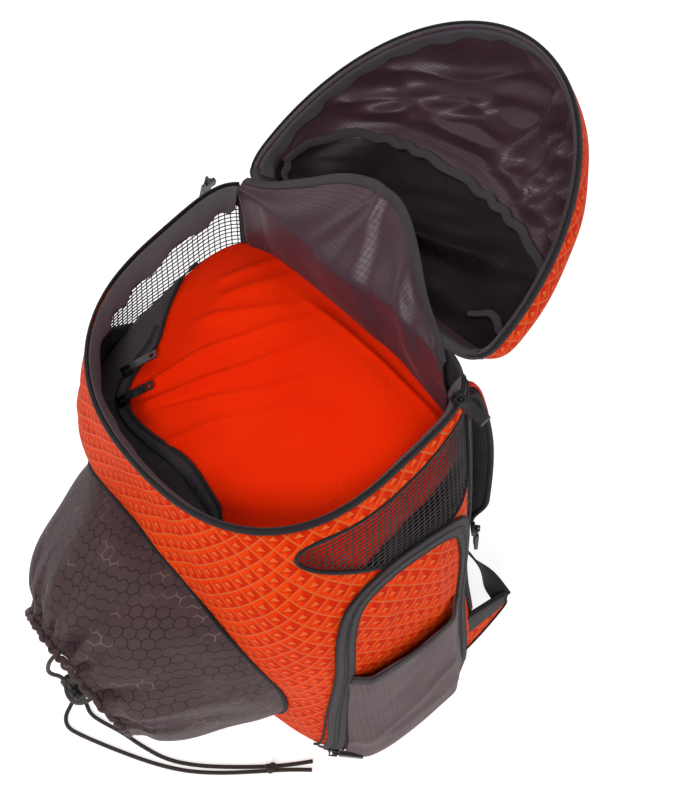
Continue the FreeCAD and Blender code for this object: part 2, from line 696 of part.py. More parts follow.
# Place across and along the divider, and the way that the zip runs there.
DIVIDER_ZIPS = {
    "divider_rear": (-114, -60, Vector(-0.6, 0.8, 0)),
    "divider_front": (-94, -78, Vector(0.88, -0.47, 0)),
}
DIVIDER_PULL_WAY = Vector(0.55, 0.83, 0)
LID_SLIDER_ACROSS = 145.5
LID_SLIDER_DEPTH = 72
# Half width of the rim zip's outside at two depths, and the way out of its left corner.
LEFT_EDGE = {72: 148.3, 44: 150.8}
LEFT_WAY = Vector(-0.9, 0, 0.44).normalize()
LEFT_RIDE = 1.3


def zip_places():
    """Each slider's placement, the way it runs along its zip, and whether its pull is metal."""
    above = size("layer_gap") + size("tape_thickness") + RIDE
    places = {}
    tilt = radians(size("rim_tilt"))
    rim_up = Vector(0, -sin(tilt), cos(tilt))
    forward = Vector(0, -cos(tilt), -sin(tilt))
    corner = Vector(LID_SLIDER_ACROSS, LID_SLIDER_DEPTH, rim_height(LID_SLIDER_DEPTH))
    places["lid_right"] = (frame_at(corner + rim_up * RIDE, X_AXIS, rim_up), forward, False)
    edge, ahead = (Vector(-LEFT_EDGE[depth], depth, rim_height(depth)) for depth in LEFT_EDGE)
    places["lid_left"] = (frame_at(edge + LEFT_WAY * LEFT_RIDE, -Z_AXIS, LEFT_WAY), ahead - edge, False)
    for name, (side, depth, height, climb, pull_way) in SIDE_ZIPS.items():
        spot = side_reach(side, depth, height, above)
        further = side_reach(side, depth + climb.y * RUN_STEP, height + climb.z * RUN_STEP, above)
        place = frame_at(spot, pull_way, side_normal(side, depth, height, above))
        places[name] = (place, further - spot, False)
    surface = divider_ball(2 * size("layer_gap") + DIVIDER_ZIP_THICKNESS + RIDE)
    for name, (x, y, run) in DIVIDER_ZIPS.items():
        line = Part.makeLine(Vector(x, y, 0), Vector(x, y, FAR))
        spot = Vector(x, y, line.common(surface).BoundBox.ZMax)
        normal = spot - surface.Solids[0].Faces[0].Surface.Center
        level_run = normal.cross(run).cross(normal)
        places[name] = (frame_at(spot, DIVIDER_PULL_WAY, normal), level_run, True)
    return places


def make_zip_hardware():
    """Sliders and pulls; prints each pull's hinge and each slider's run for the joint table."""
    for name, (place, run, metal) in zip_places().items():
        make_slider(f"{name}_slider", place)
        make_pull(f"{name}_pull", place, metal)
        level = size("slider_height") + size("crown_opening") / 2
        pivot = place.multVec(Vector(0, 0, level))
        hinge = place.Rotation.multVec(X_AXIS)
        print("zip", name, *(round(value / 1000, 5) for value in pivot),
              *(round(value, 5) for value in hinge), *(round(value, 5) for value in run.normalize()))


# ---------------------------------------------------------------- drawcord
CORD_ROUTES = {
    "drawcord_left": [
        (-77.3, -222.4, 124), (-79, -240, 116), (-84, -247.5, 98), (-88, -249, 78),
        (-88, -240.4, 58), (-88, -240.4, 11.5), (-87, -249.5, 2.1), (-81, -260.5, 2.1),
        (-69.5, -265, 2.1), (-54, -259, 2.1), (-28, -246, 2.1), (0, -231, 2.1), (25, -216, 2.1),
        (49, -198, 2.1), (72, -174, 2.1), (95, -145, 2.1), (112, -123, 2.1), (126, -108, 2.1)],
    "drawcord_right": [
        (-29, -219, 96.5), (-33, -236, 90), (-44, -246, 80), (-60, -248, 71), (-76, -244, 62),
        (-88, -235.6, 46), (-88, -235.6, 11.5), (-79, -236.5, 2.1), (-66, -240, 2.1),
        (-50, -235, 2.1), (-30, -226.5, 2.1), (-5, -219.5, 2.1), (24, -208.5, 2.1),
        (48, -190, 2.1), (69, -168.5, 2.1), (91.7, -142.4, 2.1), (108.7, -120.4, 2.1),
        (120, -102, 2.1)],
}
ARC_SHARE = 0.45


def cord_tube(route, diameter):
    """Round tube along straight runs joined by tangent arcs, with its length and tightest arc."""
    points = [Vector(*point) for point in route]
    edges = []
    tightest = FAR
    start = points[0]
    for before, corner, after in zip(points, points[1:], points[2:]):
        back, ahead = before - corner, after - corner
        trim = ARC_SHARE * min(back.Length, ahead.Length)
        half_turn = (pi - back.getAngle(ahead)) / 2
        tightest = min(tightest, trim / tan(half_turn))
        first = corner + back.normalize() * trim
        last = corner + ahead.normalize() * trim
        inwards = (back + ahead).normalize()
        sagitta = trim / tan(half_turn) * (1 / cos(half_turn) - 1)
        edges.append(Part.makeLine(start, first))
        edges.append(Part.Arc(first, corner + inwards * sagitta, last).toShape())
        start = last
    edges.append(Part.makeLine(start, points[-1]))
    path = Part.Wire(edges)
    way = (points[1] - points[0]).normalize()
    section = Part.Wire([Part.makeCircle(diameter / 2, points[0], way)])
    tube = path.makePipeShell([section], True, False)
    return tube, path.Length, tightest


def make_drawcord():
    """Both strands of the drawcord with the cord lock and the knot they run through."""
    diameter = size("cord_diameter")
    hem = doc.getObject("ball_pocket_hem").Shape
    tubes = []
    for name, route in CORD_ROUTES.items():
        tube, length, tightest = cord_tube(route, diameter)
        share = tube.Volume / (pi * diameter ** 2 / 4 * length)
        print(f"{name}: length {length:.1f}, tightest arc {tightest:.1f}, volume share {share:.4f}")
        tubes.append(tube)
        keep(name, biggest(tube.cut(hem)))
    knot = Part.makeSphere(size("knot_radius"), Vector(98.9, -136.6, size("knot_radius") + 0.05))
    keep("cord_knot", biggest(knot.cut(tubes[0]).cut(tubes[1])))
    lock_place = frame_at(Vector(size("lock_across") - size("lock_cord_level"), size("lock_depth"),
                                 size("lock_height")), Z_AXIS, X_AXIS)
    barrel = new_body("cord_lock_barrel")
    outline = sketch_on(barrel, "XY_Plane", "barrel_outline")
    add_circle(outline, 0, 0, "Dimensions.lock_diameter / 2")
    add_pad(barrel, outline, "Dimensions.lock_length")
    doc.recompute()
    bore = sketch_on(barrel, "XY_Plane", "barrel_bore", size("lock_length"))
    add_circle(bore, 0, 0, "Dimensions.lock_bore / 2")
    add_pocket(barrel, bore, "Dimensions.lock_bore_depth")
    slot = sketch_on(barrel, "XZ_Plane", "barrel_slot")
    add_rectangle(slot, "-Dimensions.lock_slot_width / 2",
                  "Dimensions.lock_cord_level - Dimensions.lock_slot_length / 2",
                  "Dimensions.lock_slot_width", "Dimensions.lock_slot_length")
    add_pocket(barrel, slot, "Dimensions.lock_diameter * 2", both_ways=True)
    barrel.Placement = lock_place
    button = new_body("cord_lock_button")
    outline = sketch_on(button, "XY_Plane", "button_outline")
    outline.setExpression(".AttachmentOffset.Base.z", "Dimensions.button_start")
    add_circle(outline, 0, 0, "Dimensions.button_diameter / 2")
    add_pad(button, outline, "Dimensions.button_length")
    doc.recompute()
    slot = sketch_on(button, "XZ_Plane", "button_slot")
    add_rectangle(slot, "-Dimensions.lock_slot_width / 2",
                  "Dimensions.button_start + Dimensions.button_slot_level"
                  " - Dimensions.button_slot_length / 2",
                  "Dimensions.lock_slot_width", "Dimensions.button_slot_length")
    add_pocket(button, slot, "Dimensions.lock_diameter * 2", both_ways=True)
    button.Placement = lock_place


def write_parts():
    """Check every object and write each node's solid."""
    doc.recompute()
    for item in doc.Objects:
        if "Invalid" in item.State or "Error" in item.State:
            raise RuntimeError(f"{item.Label} failed: {item.State}")
    for node in NODES:
        shape = node.Shape
        if shape.isNull() or not shape.isValid() or not shape.Solids:
            raise RuntimeError(f"{node.Label} has no valid solid")
        shape.exportStep(f"parts/{node.Label}.step")
        print(f"{node.Label}: {shape.Volume / 1000:.2f} cm3")
    print(len(NODES), "nodes")


make_bag()
make_inside()
make_side_pockets()
make_ball_pocket()
make_lid()
make_straps()
make_back_zip()
make_zip_hardware()
make_drawcord()
write_parts()
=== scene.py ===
"""Looks of the open daypack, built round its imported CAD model.

Lengths in the making code are millimetres in the part's frame; MM turns them into metres.
"""

import json
import math

import bmesh
import bpy
import numpy as np
from mathutils import Matrix, Vector
from mathutils.bvhtree import BVHTree

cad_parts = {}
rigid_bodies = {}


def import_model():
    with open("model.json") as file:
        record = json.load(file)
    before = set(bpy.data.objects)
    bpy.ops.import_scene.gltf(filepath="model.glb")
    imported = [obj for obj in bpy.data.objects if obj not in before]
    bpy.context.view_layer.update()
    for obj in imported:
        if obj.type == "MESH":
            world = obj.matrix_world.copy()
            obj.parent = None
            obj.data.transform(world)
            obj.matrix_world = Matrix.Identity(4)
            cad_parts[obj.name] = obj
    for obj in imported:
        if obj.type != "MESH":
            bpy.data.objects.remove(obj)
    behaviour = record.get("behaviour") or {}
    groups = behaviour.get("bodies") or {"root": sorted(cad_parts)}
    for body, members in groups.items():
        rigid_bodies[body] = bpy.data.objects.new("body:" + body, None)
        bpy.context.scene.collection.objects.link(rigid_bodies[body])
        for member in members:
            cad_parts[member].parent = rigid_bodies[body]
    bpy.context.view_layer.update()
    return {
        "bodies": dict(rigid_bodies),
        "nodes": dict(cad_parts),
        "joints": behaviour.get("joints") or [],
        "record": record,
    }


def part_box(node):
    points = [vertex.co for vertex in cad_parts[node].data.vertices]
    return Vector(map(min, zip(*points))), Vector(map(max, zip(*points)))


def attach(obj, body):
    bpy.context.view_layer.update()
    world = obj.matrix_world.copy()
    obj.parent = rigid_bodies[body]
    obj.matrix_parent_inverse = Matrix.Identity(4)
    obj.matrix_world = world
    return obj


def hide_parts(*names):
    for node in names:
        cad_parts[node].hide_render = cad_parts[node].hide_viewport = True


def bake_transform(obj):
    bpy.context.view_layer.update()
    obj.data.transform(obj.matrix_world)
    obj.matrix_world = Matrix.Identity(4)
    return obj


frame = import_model()
NODES = frame["nodes"]
MM = 0.001
PACK, LID = "pack", "lid"
UP = (0, 0, 1)


# ---------------------------------------------------------------- camera and cords
CAMERA_ANGLES = (57.09, 54.02, -8.45)     # azimuth, elevation and roll in degrees
CAMERA_PLACE = (0.5104, -0.2574, 1.1468)
CAMERA_LENS = 54.68


def make_camera():
    """Camera above the bag's front right, looking down into it."""
    azimuth, elevation, roll = (math.radians(value) for value in CAMERA_ANGLES)
    back = Vector((math.sin(azimuth) * math.cos(elevation),
                   -math.cos(azimuth) * math.cos(elevation), math.sin(elevation)))
    right = Vector((math.cos(azimuth), math.sin(azimuth), 0))
    up = back.cross(right)
    across = right * math.cos(roll) + up * math.sin(roll)
    upward = -right * math.sin(roll) + up * math.cos(roll)
    data = bpy.data.cameras.new("camera")
    data.lens = CAMERA_LENS
    data.sensor_width = 36
    data.clip_end = 20
    camera = bpy.data.objects.new("camera", data)
    bpy.context.scene.collection.objects.link(camera)
    place = Matrix((across, upward, back)).transposed().to_4x4()
    place.translation = CAMERA_PLACE
    camera.matrix_world = place
    bpy.context.scene.camera = camera


CORD_DIAMETER = 4.0
CORD_ROUTES = {
    "drawcord_left": (0.417, [
        (-77.3, -222.4, 124), (-79, -240, 116), (-84, -247.5, 98), (-88, -249, 78),
        (-88, -240.4, 58), (-88, -240.4, 11.5), (-87, -249.5, 2.1), (-81, -260.5, 2.1),
        (-69.5, -265, 2.1), (-54, -259, 2.1), (-28, -246, 2.1), (0, -231, 2.1),
        (25, -216, 2.1), (49, -198, 2.1), (72, -174, 2.1), (95, -145, 2.1),
        (112, -123, 2.1), (126, -108, 2.1)]),
    "drawcord_right": (0.392, [
        (-29, -219, 96.5), (-33, -236, 90), (-44, -246, 80), (-60, -248, 71),
        (-76, -244, 62), (-88, -235.6, 46), (-88, -235.6, 11.5), (-79, -236.5, 2.1),
        (-66, -240, 2.1), (-50, -235, 2.1), (-30, -226.5, 2.1), (-5, -219.5, 2.1),
        (24, -208.5, 2.1), (48, -190, 2.1), (69, -168.5, 2.1), (91.7, -142.4, 2.1),
        (108.7, -120.4, 2.1), (120, -102, 2.1)]),
}


def make_cords():
    """The two strands of the drawcord."""
    cords = {}
    for name, (_, route) in CORD_ROUTES.items():
        data = bpy.data.curves.new(name + "_line", "CURVE")
        data.dimensions = "3D"
        data.bevel_depth = 1.0
        data.bevel_resolution = 5
        data.resolution_u = 14
        data.use_fill_caps = True
        spline = data.splines.new("NURBS")
        spline.points.add(len(route) - 1)
        for point, place in zip(spline.points, route):
            point.co = (place[0] * MM, place[1] * MM, place[2] * MM, 1)
            point.radius = CORD_DIAMETER / 2 * MM
        spline.order_u = 3
        spline.use_endpoint_u = True
        cord = bpy.data.objects.new(name + "_strand", data)
        bpy.context.scene.collection.objects.link(cord)
        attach(cord, PACK)
        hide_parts(name)
        cords[name] = cord
    return cords


make_camera()
CORDS = make_cords()


# ---------------------------------------------------------------- surfaces
RING_POLES = 48
FINE_POINTS = 720
TINY = 1e-9
SOLVE_ROUNDS = 14     # enough for places on the bag to settle


def unit(ways):
    """Directions made one long."""
    return ways / np.maximum(np.linalg.norm(ways, axis=-1, keepdims=True), TINY)


def repeat(way, count):
    """One direction for each of a number of points."""
    return np.tile(np.asarray(way, float), (count, 1))


def ring(half, front, back, middle, front_power, back_power):
    """Evenly spaced points of an outline that is a superellipse before and behind its middle."""
    turn = 2 * np.pi * np.arange(FINE_POINTS) / FINE_POINTS
    behind = np.arange(FINE_POINTS) <= FINE_POINTS / 2
    power = np.where(behind, back_power, front_power)
    depth = np.where(behind, back - middle, middle - front)
    x = np.sign(np.cos(turn)) * np.abs(np.cos(turn)) ** (2 / power) * half
    y = middle + np.sign(np.sin(turn)) * np.abs(np.sin(turn)) ** (2 / power) * depth
    x, y = np.append(x, x[0]), np.append(y, y[0])
    reach = np.append(0, np.cumsum(np.hypot(np.diff(x), np.diff(y))))
    goals = reach[-1] * np.arange(RING_POLES) / RING_POLES
    return np.stack([np.interp(goals, reach, x), np.interp(goals, reach, y)], 1)


def smooth_ring(poles, turns):
    """Points of the closed uniform cubic spline on the poles; turns counts rounds."""
    count = len(poles)
    place = np.mod(np.asarray(turns) * count, count)
    first = np.floor(place).astype(int)
    t = (place - first)[:, None]
    weights = [(1 - t) ** 3 / 6, (3 * t ** 3 - 6 * t ** 2 + 4) / 6,
               (-3 * t ** 3 + 3 * t ** 2 + 3 * t + 1) / 6, t ** 3 / 6]
    return sum(w * poles[(first + shift - 1) % count] for shift, w in enumerate(weights))


class Skin:
    """Smooth surface through closed rings: turn runs round them, level through them, 0 to 1."""

    def __init__(self, rings):
        self.rings = np.array(rings, float)
        steps = np.linalg.norm(np.diff(self.rings, axis=0), axis=2).mean(1)
        self.levels = np.append(0, np.cumsum(steps)) / steps.sum()
        count = len(rings)
        system, source = np.eye(count), np.zeros((count, count))
        for i in range(1, count - 1):
            low, high = self.levels[i] - self.levels[i - 1], self.levels[i + 1] - self.levels[i]
            system[i, i - 1:i + 2] = low / 6, (low + high) / 3, high / 6
            source[i, i - 1:i + 2] = 1 / low, -1 / low - 1 / high, 1 / high
        self.curving = np.linalg.solve(system, source)

    def at(self, turn, level):
        """Points for arrays of turns and levels."""
        turn, level = np.broadcast_arrays(np.asarray(turn, float), np.asarray(level, float))
        shape = turn.shape
        turn, level = turn.ravel(), level.ravel()
        columns = np.stack([smooth_ring(poles, turn) for poles in self.rings])
        bends = np.einsum("ij,jkl->ikl", self.curving, columns)
        index = np.clip(np.searchsorted(self.levels, level) - 1, 0, len(self.levels) - 2)
        low, high = self.levels[index], self.levels[index + 1]
        gap = high - low
        a, b = (high - level) / gap, (level - low) / gap
        pick = np.arange(len(turn))
        value = (columns[index, pick] * a[:, None] + columns[index + 1, pick] * b[:, None]
                 + ((a ** 3 - a) * gap ** 2 / 6)[:, None] * bends[index, pick]
                 + ((b ** 3 - b) * gap ** 2 / 6)[:, None] * bends[index + 1, pick])
        return value.reshape(shape + (3,))

    def normal(self, turn, level):
        """Outward directions."""
        e = 0.002
        level = np.clip(level, e, 1 - e)
        along = self.at(np.asarray(turn) + e, level) - self.at(np.asarray(turn) - e, level)
        above = self.at(turn, level + e) - self.at(turn, level - e)
        return unit(np.cross(along, above))


HINGE = (0.0, 91.0, 462.0)
RIM_TILT = math.radians(12.9)


def rim_height(depth):
    """Height of the tilted rim at a depth."""
    return HINGE[2] + (depth - HINGE[1]) * math.tan(RIM_TILT)


# height, half width, front, back and squareness
BAG_OUTLINES = ((0, 138, -86, 86, 3.2), (30, 157, -103, 100, 3.4), (150, 163, -118, 103, 3.8),
                (280, 164, -128, 101, 4.4))


def make_bag_skin():
    """Outline of the main bag from its base to the rim."""
    rings = []
    for height, half, front, back, power in BAG_OUTLINES:
        flat = ring(half, front, back, (front + back) / 2, power, power)
        rings.append(np.column_stack([flat, np.full(RING_POLES, height)]))
    flat = ring(150, -118, 100, 7, 2.35, 6.2)
    rings.append(np.column_stack([flat, rim_height(flat[:, 1])]))
    return Skin(rings)


BAG = make_bag_skin()
AROUND = 960.0   # girth at the chest, which scales turns to lengths
TALL = 440.0     # mean length from base to rim, which scales levels to lengths
RIM_TOP = 470    # greatest height of the rim, which gives a first guess of a level

LID_SPIN = math.radians(30)


def lid_to_pack(points):
    """Points given in the lid's own frame, in the open lid's place."""
    x, y, z = points[..., 0], points[..., 1], points[..., 2]
    c, s = math.cos(LID_SPIN), math.sin(LID_SPIN)
    return np.stack([x, HINGE[1] + c * y - s * z, HINGE[2] + s * y + c * z], -1)


# depth into the dome, half width, and the reaches of its back and front from the hinge
LID_OUTLINES = ((0, 137.5, 3, 216.5), (20, 137.5, 9, 215.5), (44, 126, 17, 203),
                (60, 100, 32, 180), (67, 70, 54, 152))


def lid_way(ways):
    """Directions given in the lid's own frame, turned with the open lid."""
    return lid_to_pack(ways) - lid_to_pack(np.zeros((1, 3)))


def make_lid_skin():
    """Outside of the lid's dome in its own frame: local Y away from the hinge, -Z into it."""
    rings = []
    for depth, half, back, front in LID_OUTLINES:
        flat = ring(half, -front, -back, -back - 30, 1.98, 7)
        rings.append(np.column_stack([flat[:, 0], -flat[:, 1], np.full(RING_POLES, -depth)]))
    return Skin(rings)


LID_SKIN = make_lid_skin()


# ---------------------------------------------------------------- mesh making
def add_mesh(name, points, faces, body, material, nodes=(), cloth=None):
    """Object from points in millimetres; cloth gives each point's place on the flat fabric."""
    mesh = bpy.data.meshes.new(name)
    mesh.from_pydata((np.asarray(points) * MM).tolist(), [], [list(map(int, f)) for f in faces])
    if cloth is not None:
        layer = mesh.attributes.new("cloth", "FLOAT_VECTOR", "POINT")
        flat = np.column_stack([cloth, np.zeros(len(cloth))])
        layer.data.foreach_set("vector", np.asarray(flat, np.float32).ravel())
    mesh.validate()
    mesh.shade_smooth()
    mesh.materials.append(material)
    piece = bpy.data.objects.new(name, mesh)
    bpy.context.scene.collection.objects.link(piece)
    if isinstance(body, str):
        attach(piece, body)
    if nodes:
        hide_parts(*nodes)
    return piece


def line_inside(piece, count):
    """Dark lining on the inner faces of a thickened piece, which follow its count outer ones."""
    piece.data.materials.append(DARK_LINING)
    for index in range(count, 2 * count):
        piece.data.polygons[index].material_index = 1


def tidy_mesh(piece, distance=0.01):
    """Join points that coincide, as at a pole, and make the faces point outwards."""
    work = bmesh.new()
    work.from_mesh(piece.data)
    bmesh.ops.remove_doubles(work, verts=work.verts, dist=distance * MM)
    bmesh.ops.dissolve_degenerate(work, edges=work.edges, dist=1e-7)
    bmesh.ops.recalc_face_normals(work, faces=work.faces)
    work.to_mesh(piece.data)
    work.free()


def thicken(points, normals, faces, thickness, cloth):
    """Closed skin between the points and the same points moved inwards."""
    count = len(points)
    faces = [tuple(f) for f in faces]
    edges = {}
    for face in faces:
        for a, b in zip(face, face[1:] + face[:1]):
            edges[(a, b)] = edges.get((a, b), 0) + 1
    rim = [(a, b) for (a, b) in edges if (b, a) not in edges]
    inner = [tuple(i + count for i in face[::-1]) for face in faces]
    sides = [(b, a, a + count, b + count) for a, b in rim]
    thick = np.asarray(thickness)
    thick = thick[:, None] if thick.ndim else thick
    doubled = np.vstack([points, points - normals * thick])
    return doubled, faces + inner + sides, np.vstack([cloth, cloth])


def add_cloth(name, points, normals, faces, thickness, cloth, body, material, nodes=()):
    """Closed piece of cloth from the points, directions and faces of its outer side."""
    doubled, all_faces, cloth = thicken(points, normals, faces, thickness, cloth)
    piece = add_mesh(name, doubled, all_faces, body, material, nodes, cloth)
    tidy_mesh(piece)
    return piece


def grid_faces(rows, columns, closed=False):
    """Quads of a grid stored row by row; closed joins the last column to the first."""
    faces = []
    for i in range(rows - 1):
        for j in range(columns if closed else columns - 1):
            k = (j + 1) % columns
            faces.append((i * columns + j, i * columns + k, (i + 1) * columns + k,
                          (i + 1) * columns + j))
    return faces


def point_normals(points, faces):
    """Normals of the points from the faces round them."""
    faces = np.array([f if len(f) == 4 else tuple(f) + (f[-1],) for f in faces])
    p = points[faces]
    way = np.cross(p[:, 2] - p[:, 0], p[:, 3] - p[:, 1])
    total = np.zeros_like(points)
    for corner in range(4):
        np.add.at(total, faces[:, corner], way)
    return unit(total)


def faced(normals, way):
    """Normals turned to the side that the way points to."""
    return normals * np.sign((normals * way).sum(-1, keepdims=True))


def inside_outline(outline, x, y):
    """True where the points lie in a closed outline."""
    inside = np.zeros(np.shape(x), bool)
    for (x0, y0), (x1, y1) in zip(outline, np.roll(outline, -1, axis=0)):
        crosses = (y0 > y) != (y1 > y)
        with np.errstate(divide="ignore", invalid="ignore"):
            at = x0 + (y - y0) * (x1 - x0) / (y1 - y0)
        inside ^= crosses & (x < at)
    return inside


def nearest_on_outline(outline, points):
    """Nearest point of a closed outline to each point, and how far it is."""
    best = np.full(len(points), np.inf)
    found = points.copy()
    for a, b in zip(outline, np.roll(outline, -1, axis=0)):
        d = b - a
        length = max(float(d @ d), TINY)
        t = np.clip(((points - a) @ d) / length, 0, 1)
        near = a + t[:, None] * d
        gap = np.linalg.norm(points - near, axis=1)
        closer = gap < best
        best = np.where(closer, gap, best)
        found[closer] = near[closer]
    return found, best


def trimmed_grid(a_values, b_values, inside=(), outside=()):
    """Flat grid kept inside some outlines and outside others, its edge moved onto them."""
    columns = len(a_values)
    a, b = np.meshgrid(a_values, b_values)
    flat = np.column_stack([a.ravel(), b.ravel()])
    faces = np.array(grid_faces(len(b_values), columns))
    middles = flat[faces].mean(1)
    keep = np.ones(len(faces), bool)
    for outline in inside:
        keep &= inside_outline(outline, middles[:, 0], middles[:, 1])
    for outline in outside:
        keep &= ~inside_outline(outline, middles[:, 0], middles[:, 1])
    kept, dropped = faces[keep], faces[~keep]
    edge = np.intersect1d(kept, dropped)
    step = max(a_values[1] - a_values[0], b_values[1] - b_values[0])
    for outline in list(inside) + list(outside):
        near, gap = nearest_on_outline(outline, flat[edge])
        flat[edge] = np.where((gap < step * 0.95)[:, None], near, flat[edge])
    used, new = np.unique(kept, return_inverse=True)
    return flat[used], new.reshape(kept.shape)


class Ripple:
    """Repeatable smooth noise made of sines, about -1 to 1, for places in millimetres."""

    def __init__(self, seed, length, waves=9):
        rng = np.random.default_rng(seed)
        turn = rng.uniform(0, 2 * np.pi, waves)
        size = 2 * np.pi / (length * rng.uniform(0.6, 1.7, waves))
        self.ways = np.stack([np.cos(turn), np.sin(turn)]) * size
        self.starts = rng.uniform(0, 2 * np.pi, waves)
        self.share = 1 / math.sqrt(waves)

    def __call__(self, a, b):
        values = np.sin(np.asarray(a)[..., None] * self.ways[0]
                        + np.asarray(b)[..., None] * self.ways[1] + self.starts)
        return values.sum(-1) * self.share


def ramp(value, low, high):
    """Smooth step from 0 at low to 1 at high."""
    t = np.clip((value - low) / (high - low), 0, 1)
    return t * t * (3 - 2 * t)


def bump(value, middle, width):
    """Round hump of height 1."""
    return np.exp(-((value - middle) / width) ** 2)


def smooth_line(points, count, closed=False):
    """Catmull-Rom curve through points, at equal steps of length."""
    points = np.asarray(points, float)
    if closed:
        ends = np.vstack([points[-1:], points, points[:2]])
    else:
        ends = np.vstack([2 * points[:1] - points[1:2], points, 2 * points[-1:] - points[-2:-1]])
    fine = []
    t = np.linspace(0, 1, 24, endpoint=False)[:, None]
    for p0, p1, p2, p3 in zip(ends, ends[1:], ends[2:], ends[3:]):
        fine.append(0.5 * (2 * p1 + (p2 - p0) * t + (2 * p0 - 5 * p1 + 4 * p2 - p3) * t ** 2
                           + (3 * p1 - p0 - 3 * p2 + p3) * t ** 3))
    fine = np.vstack(fine + [points[:1] if closed else points[-1:]])
    reach = np.append(0, np.cumsum(np.linalg.norm(np.diff(fine, axis=0), axis=1)))
    goals = np.linspace(0, reach[-1], count, endpoint=not closed)
    return np.stack([np.interp(goals, reach, fine[:, k]) for k in range(points.shape[1])], 1)


def spline_outline(poles, count=160):
    """Closed uniform cubic spline on the poles."""
    return smooth_ring(np.asarray(poles, float), np.arange(count) / count)


def reach_of(points):
    """Length along a line of points."""
    return np.append(0, np.cumsum(np.linalg.norm(np.diff(points, axis=0), axis=1)))


def frames_along(line, normals):
    """Unit tangents, and directions across the line that lie in the surface."""
    along = unit(np.gradient(line, axis=0))
    normals = unit(normals - along * (normals * along).sum(1, keepdims=True))
    return along, normals, np.cross(normals, along)


def sweep(line, normals, profile, closed=False):
    """Points and quads of a profile, given as (across, up) pairs, carried along a line."""
    _, up, across = frames_along(line, normals)
    profile = np.asarray(profile, float)
    points = (line[:, None] + across[:, None] * profile[None, :, :1]
              + up[:, None] * profile[None, :, 1:2]).reshape(-1, 3)
    rows, columns = len(line), len(profile)
    faces = grid_faces(rows, columns, True)
    if closed:
        last = (rows - 1) * columns
        faces += [(last + j, last + (j + 1) % columns, (j + 1) % columns, j)
                  for j in range(columns)]
    else:
        faces += [tuple(range(columns))[::-1], tuple(range((rows - 1) * columns, rows * columns))]
    reach = reach_of(line)
    round_ = reach_of(np.vstack([profile, profile[:1]]))[:-1]
    cloth = np.column_stack([np.repeat(reach, columns), np.tile(round_, rows)])
    return points, faces, cloth


def oval(width, height, count=10, lift=0.0):
    """Rounded profile for a flat band or a pipe."""
    turn = 2 * np.pi * np.arange(count) / count
    x = np.sign(np.cos(turn)) * np.abs(np.cos(turn)) ** 0.6 * width / 2
    y = np.sign(np.sin(turn)) * np.abs(np.sin(turn)) ** 0.9 * height / 2 + lift
    return np.column_stack([x, y])


def band(name, line, normals, width, height, body, material, nodes=(), lift=0.0,
         closed=False, count=12):
    """Flat tape or pipe along a line."""
    points, faces, cloth = sweep(line, normals, oval(width, height, count, lift), closed)
    return add_mesh(name, points, faces, body, material, nodes, cloth)


# ---------------------------------------------------------------- materials
def tint(red, green, blue):
    """Linear colour from 0 to 255 screen values."""
    return tuple((value / 255 / 12.92 if value <= 10 else ((value / 255 + 0.055) / 1.055) ** 2.4)
                 for value in (red, green, blue)) + (1.0,)


def scaled(colour, factor):
    """Colour made darker or paler by a factor."""
    return tuple(value * factor for value in colour[:3]) + (1.0,)


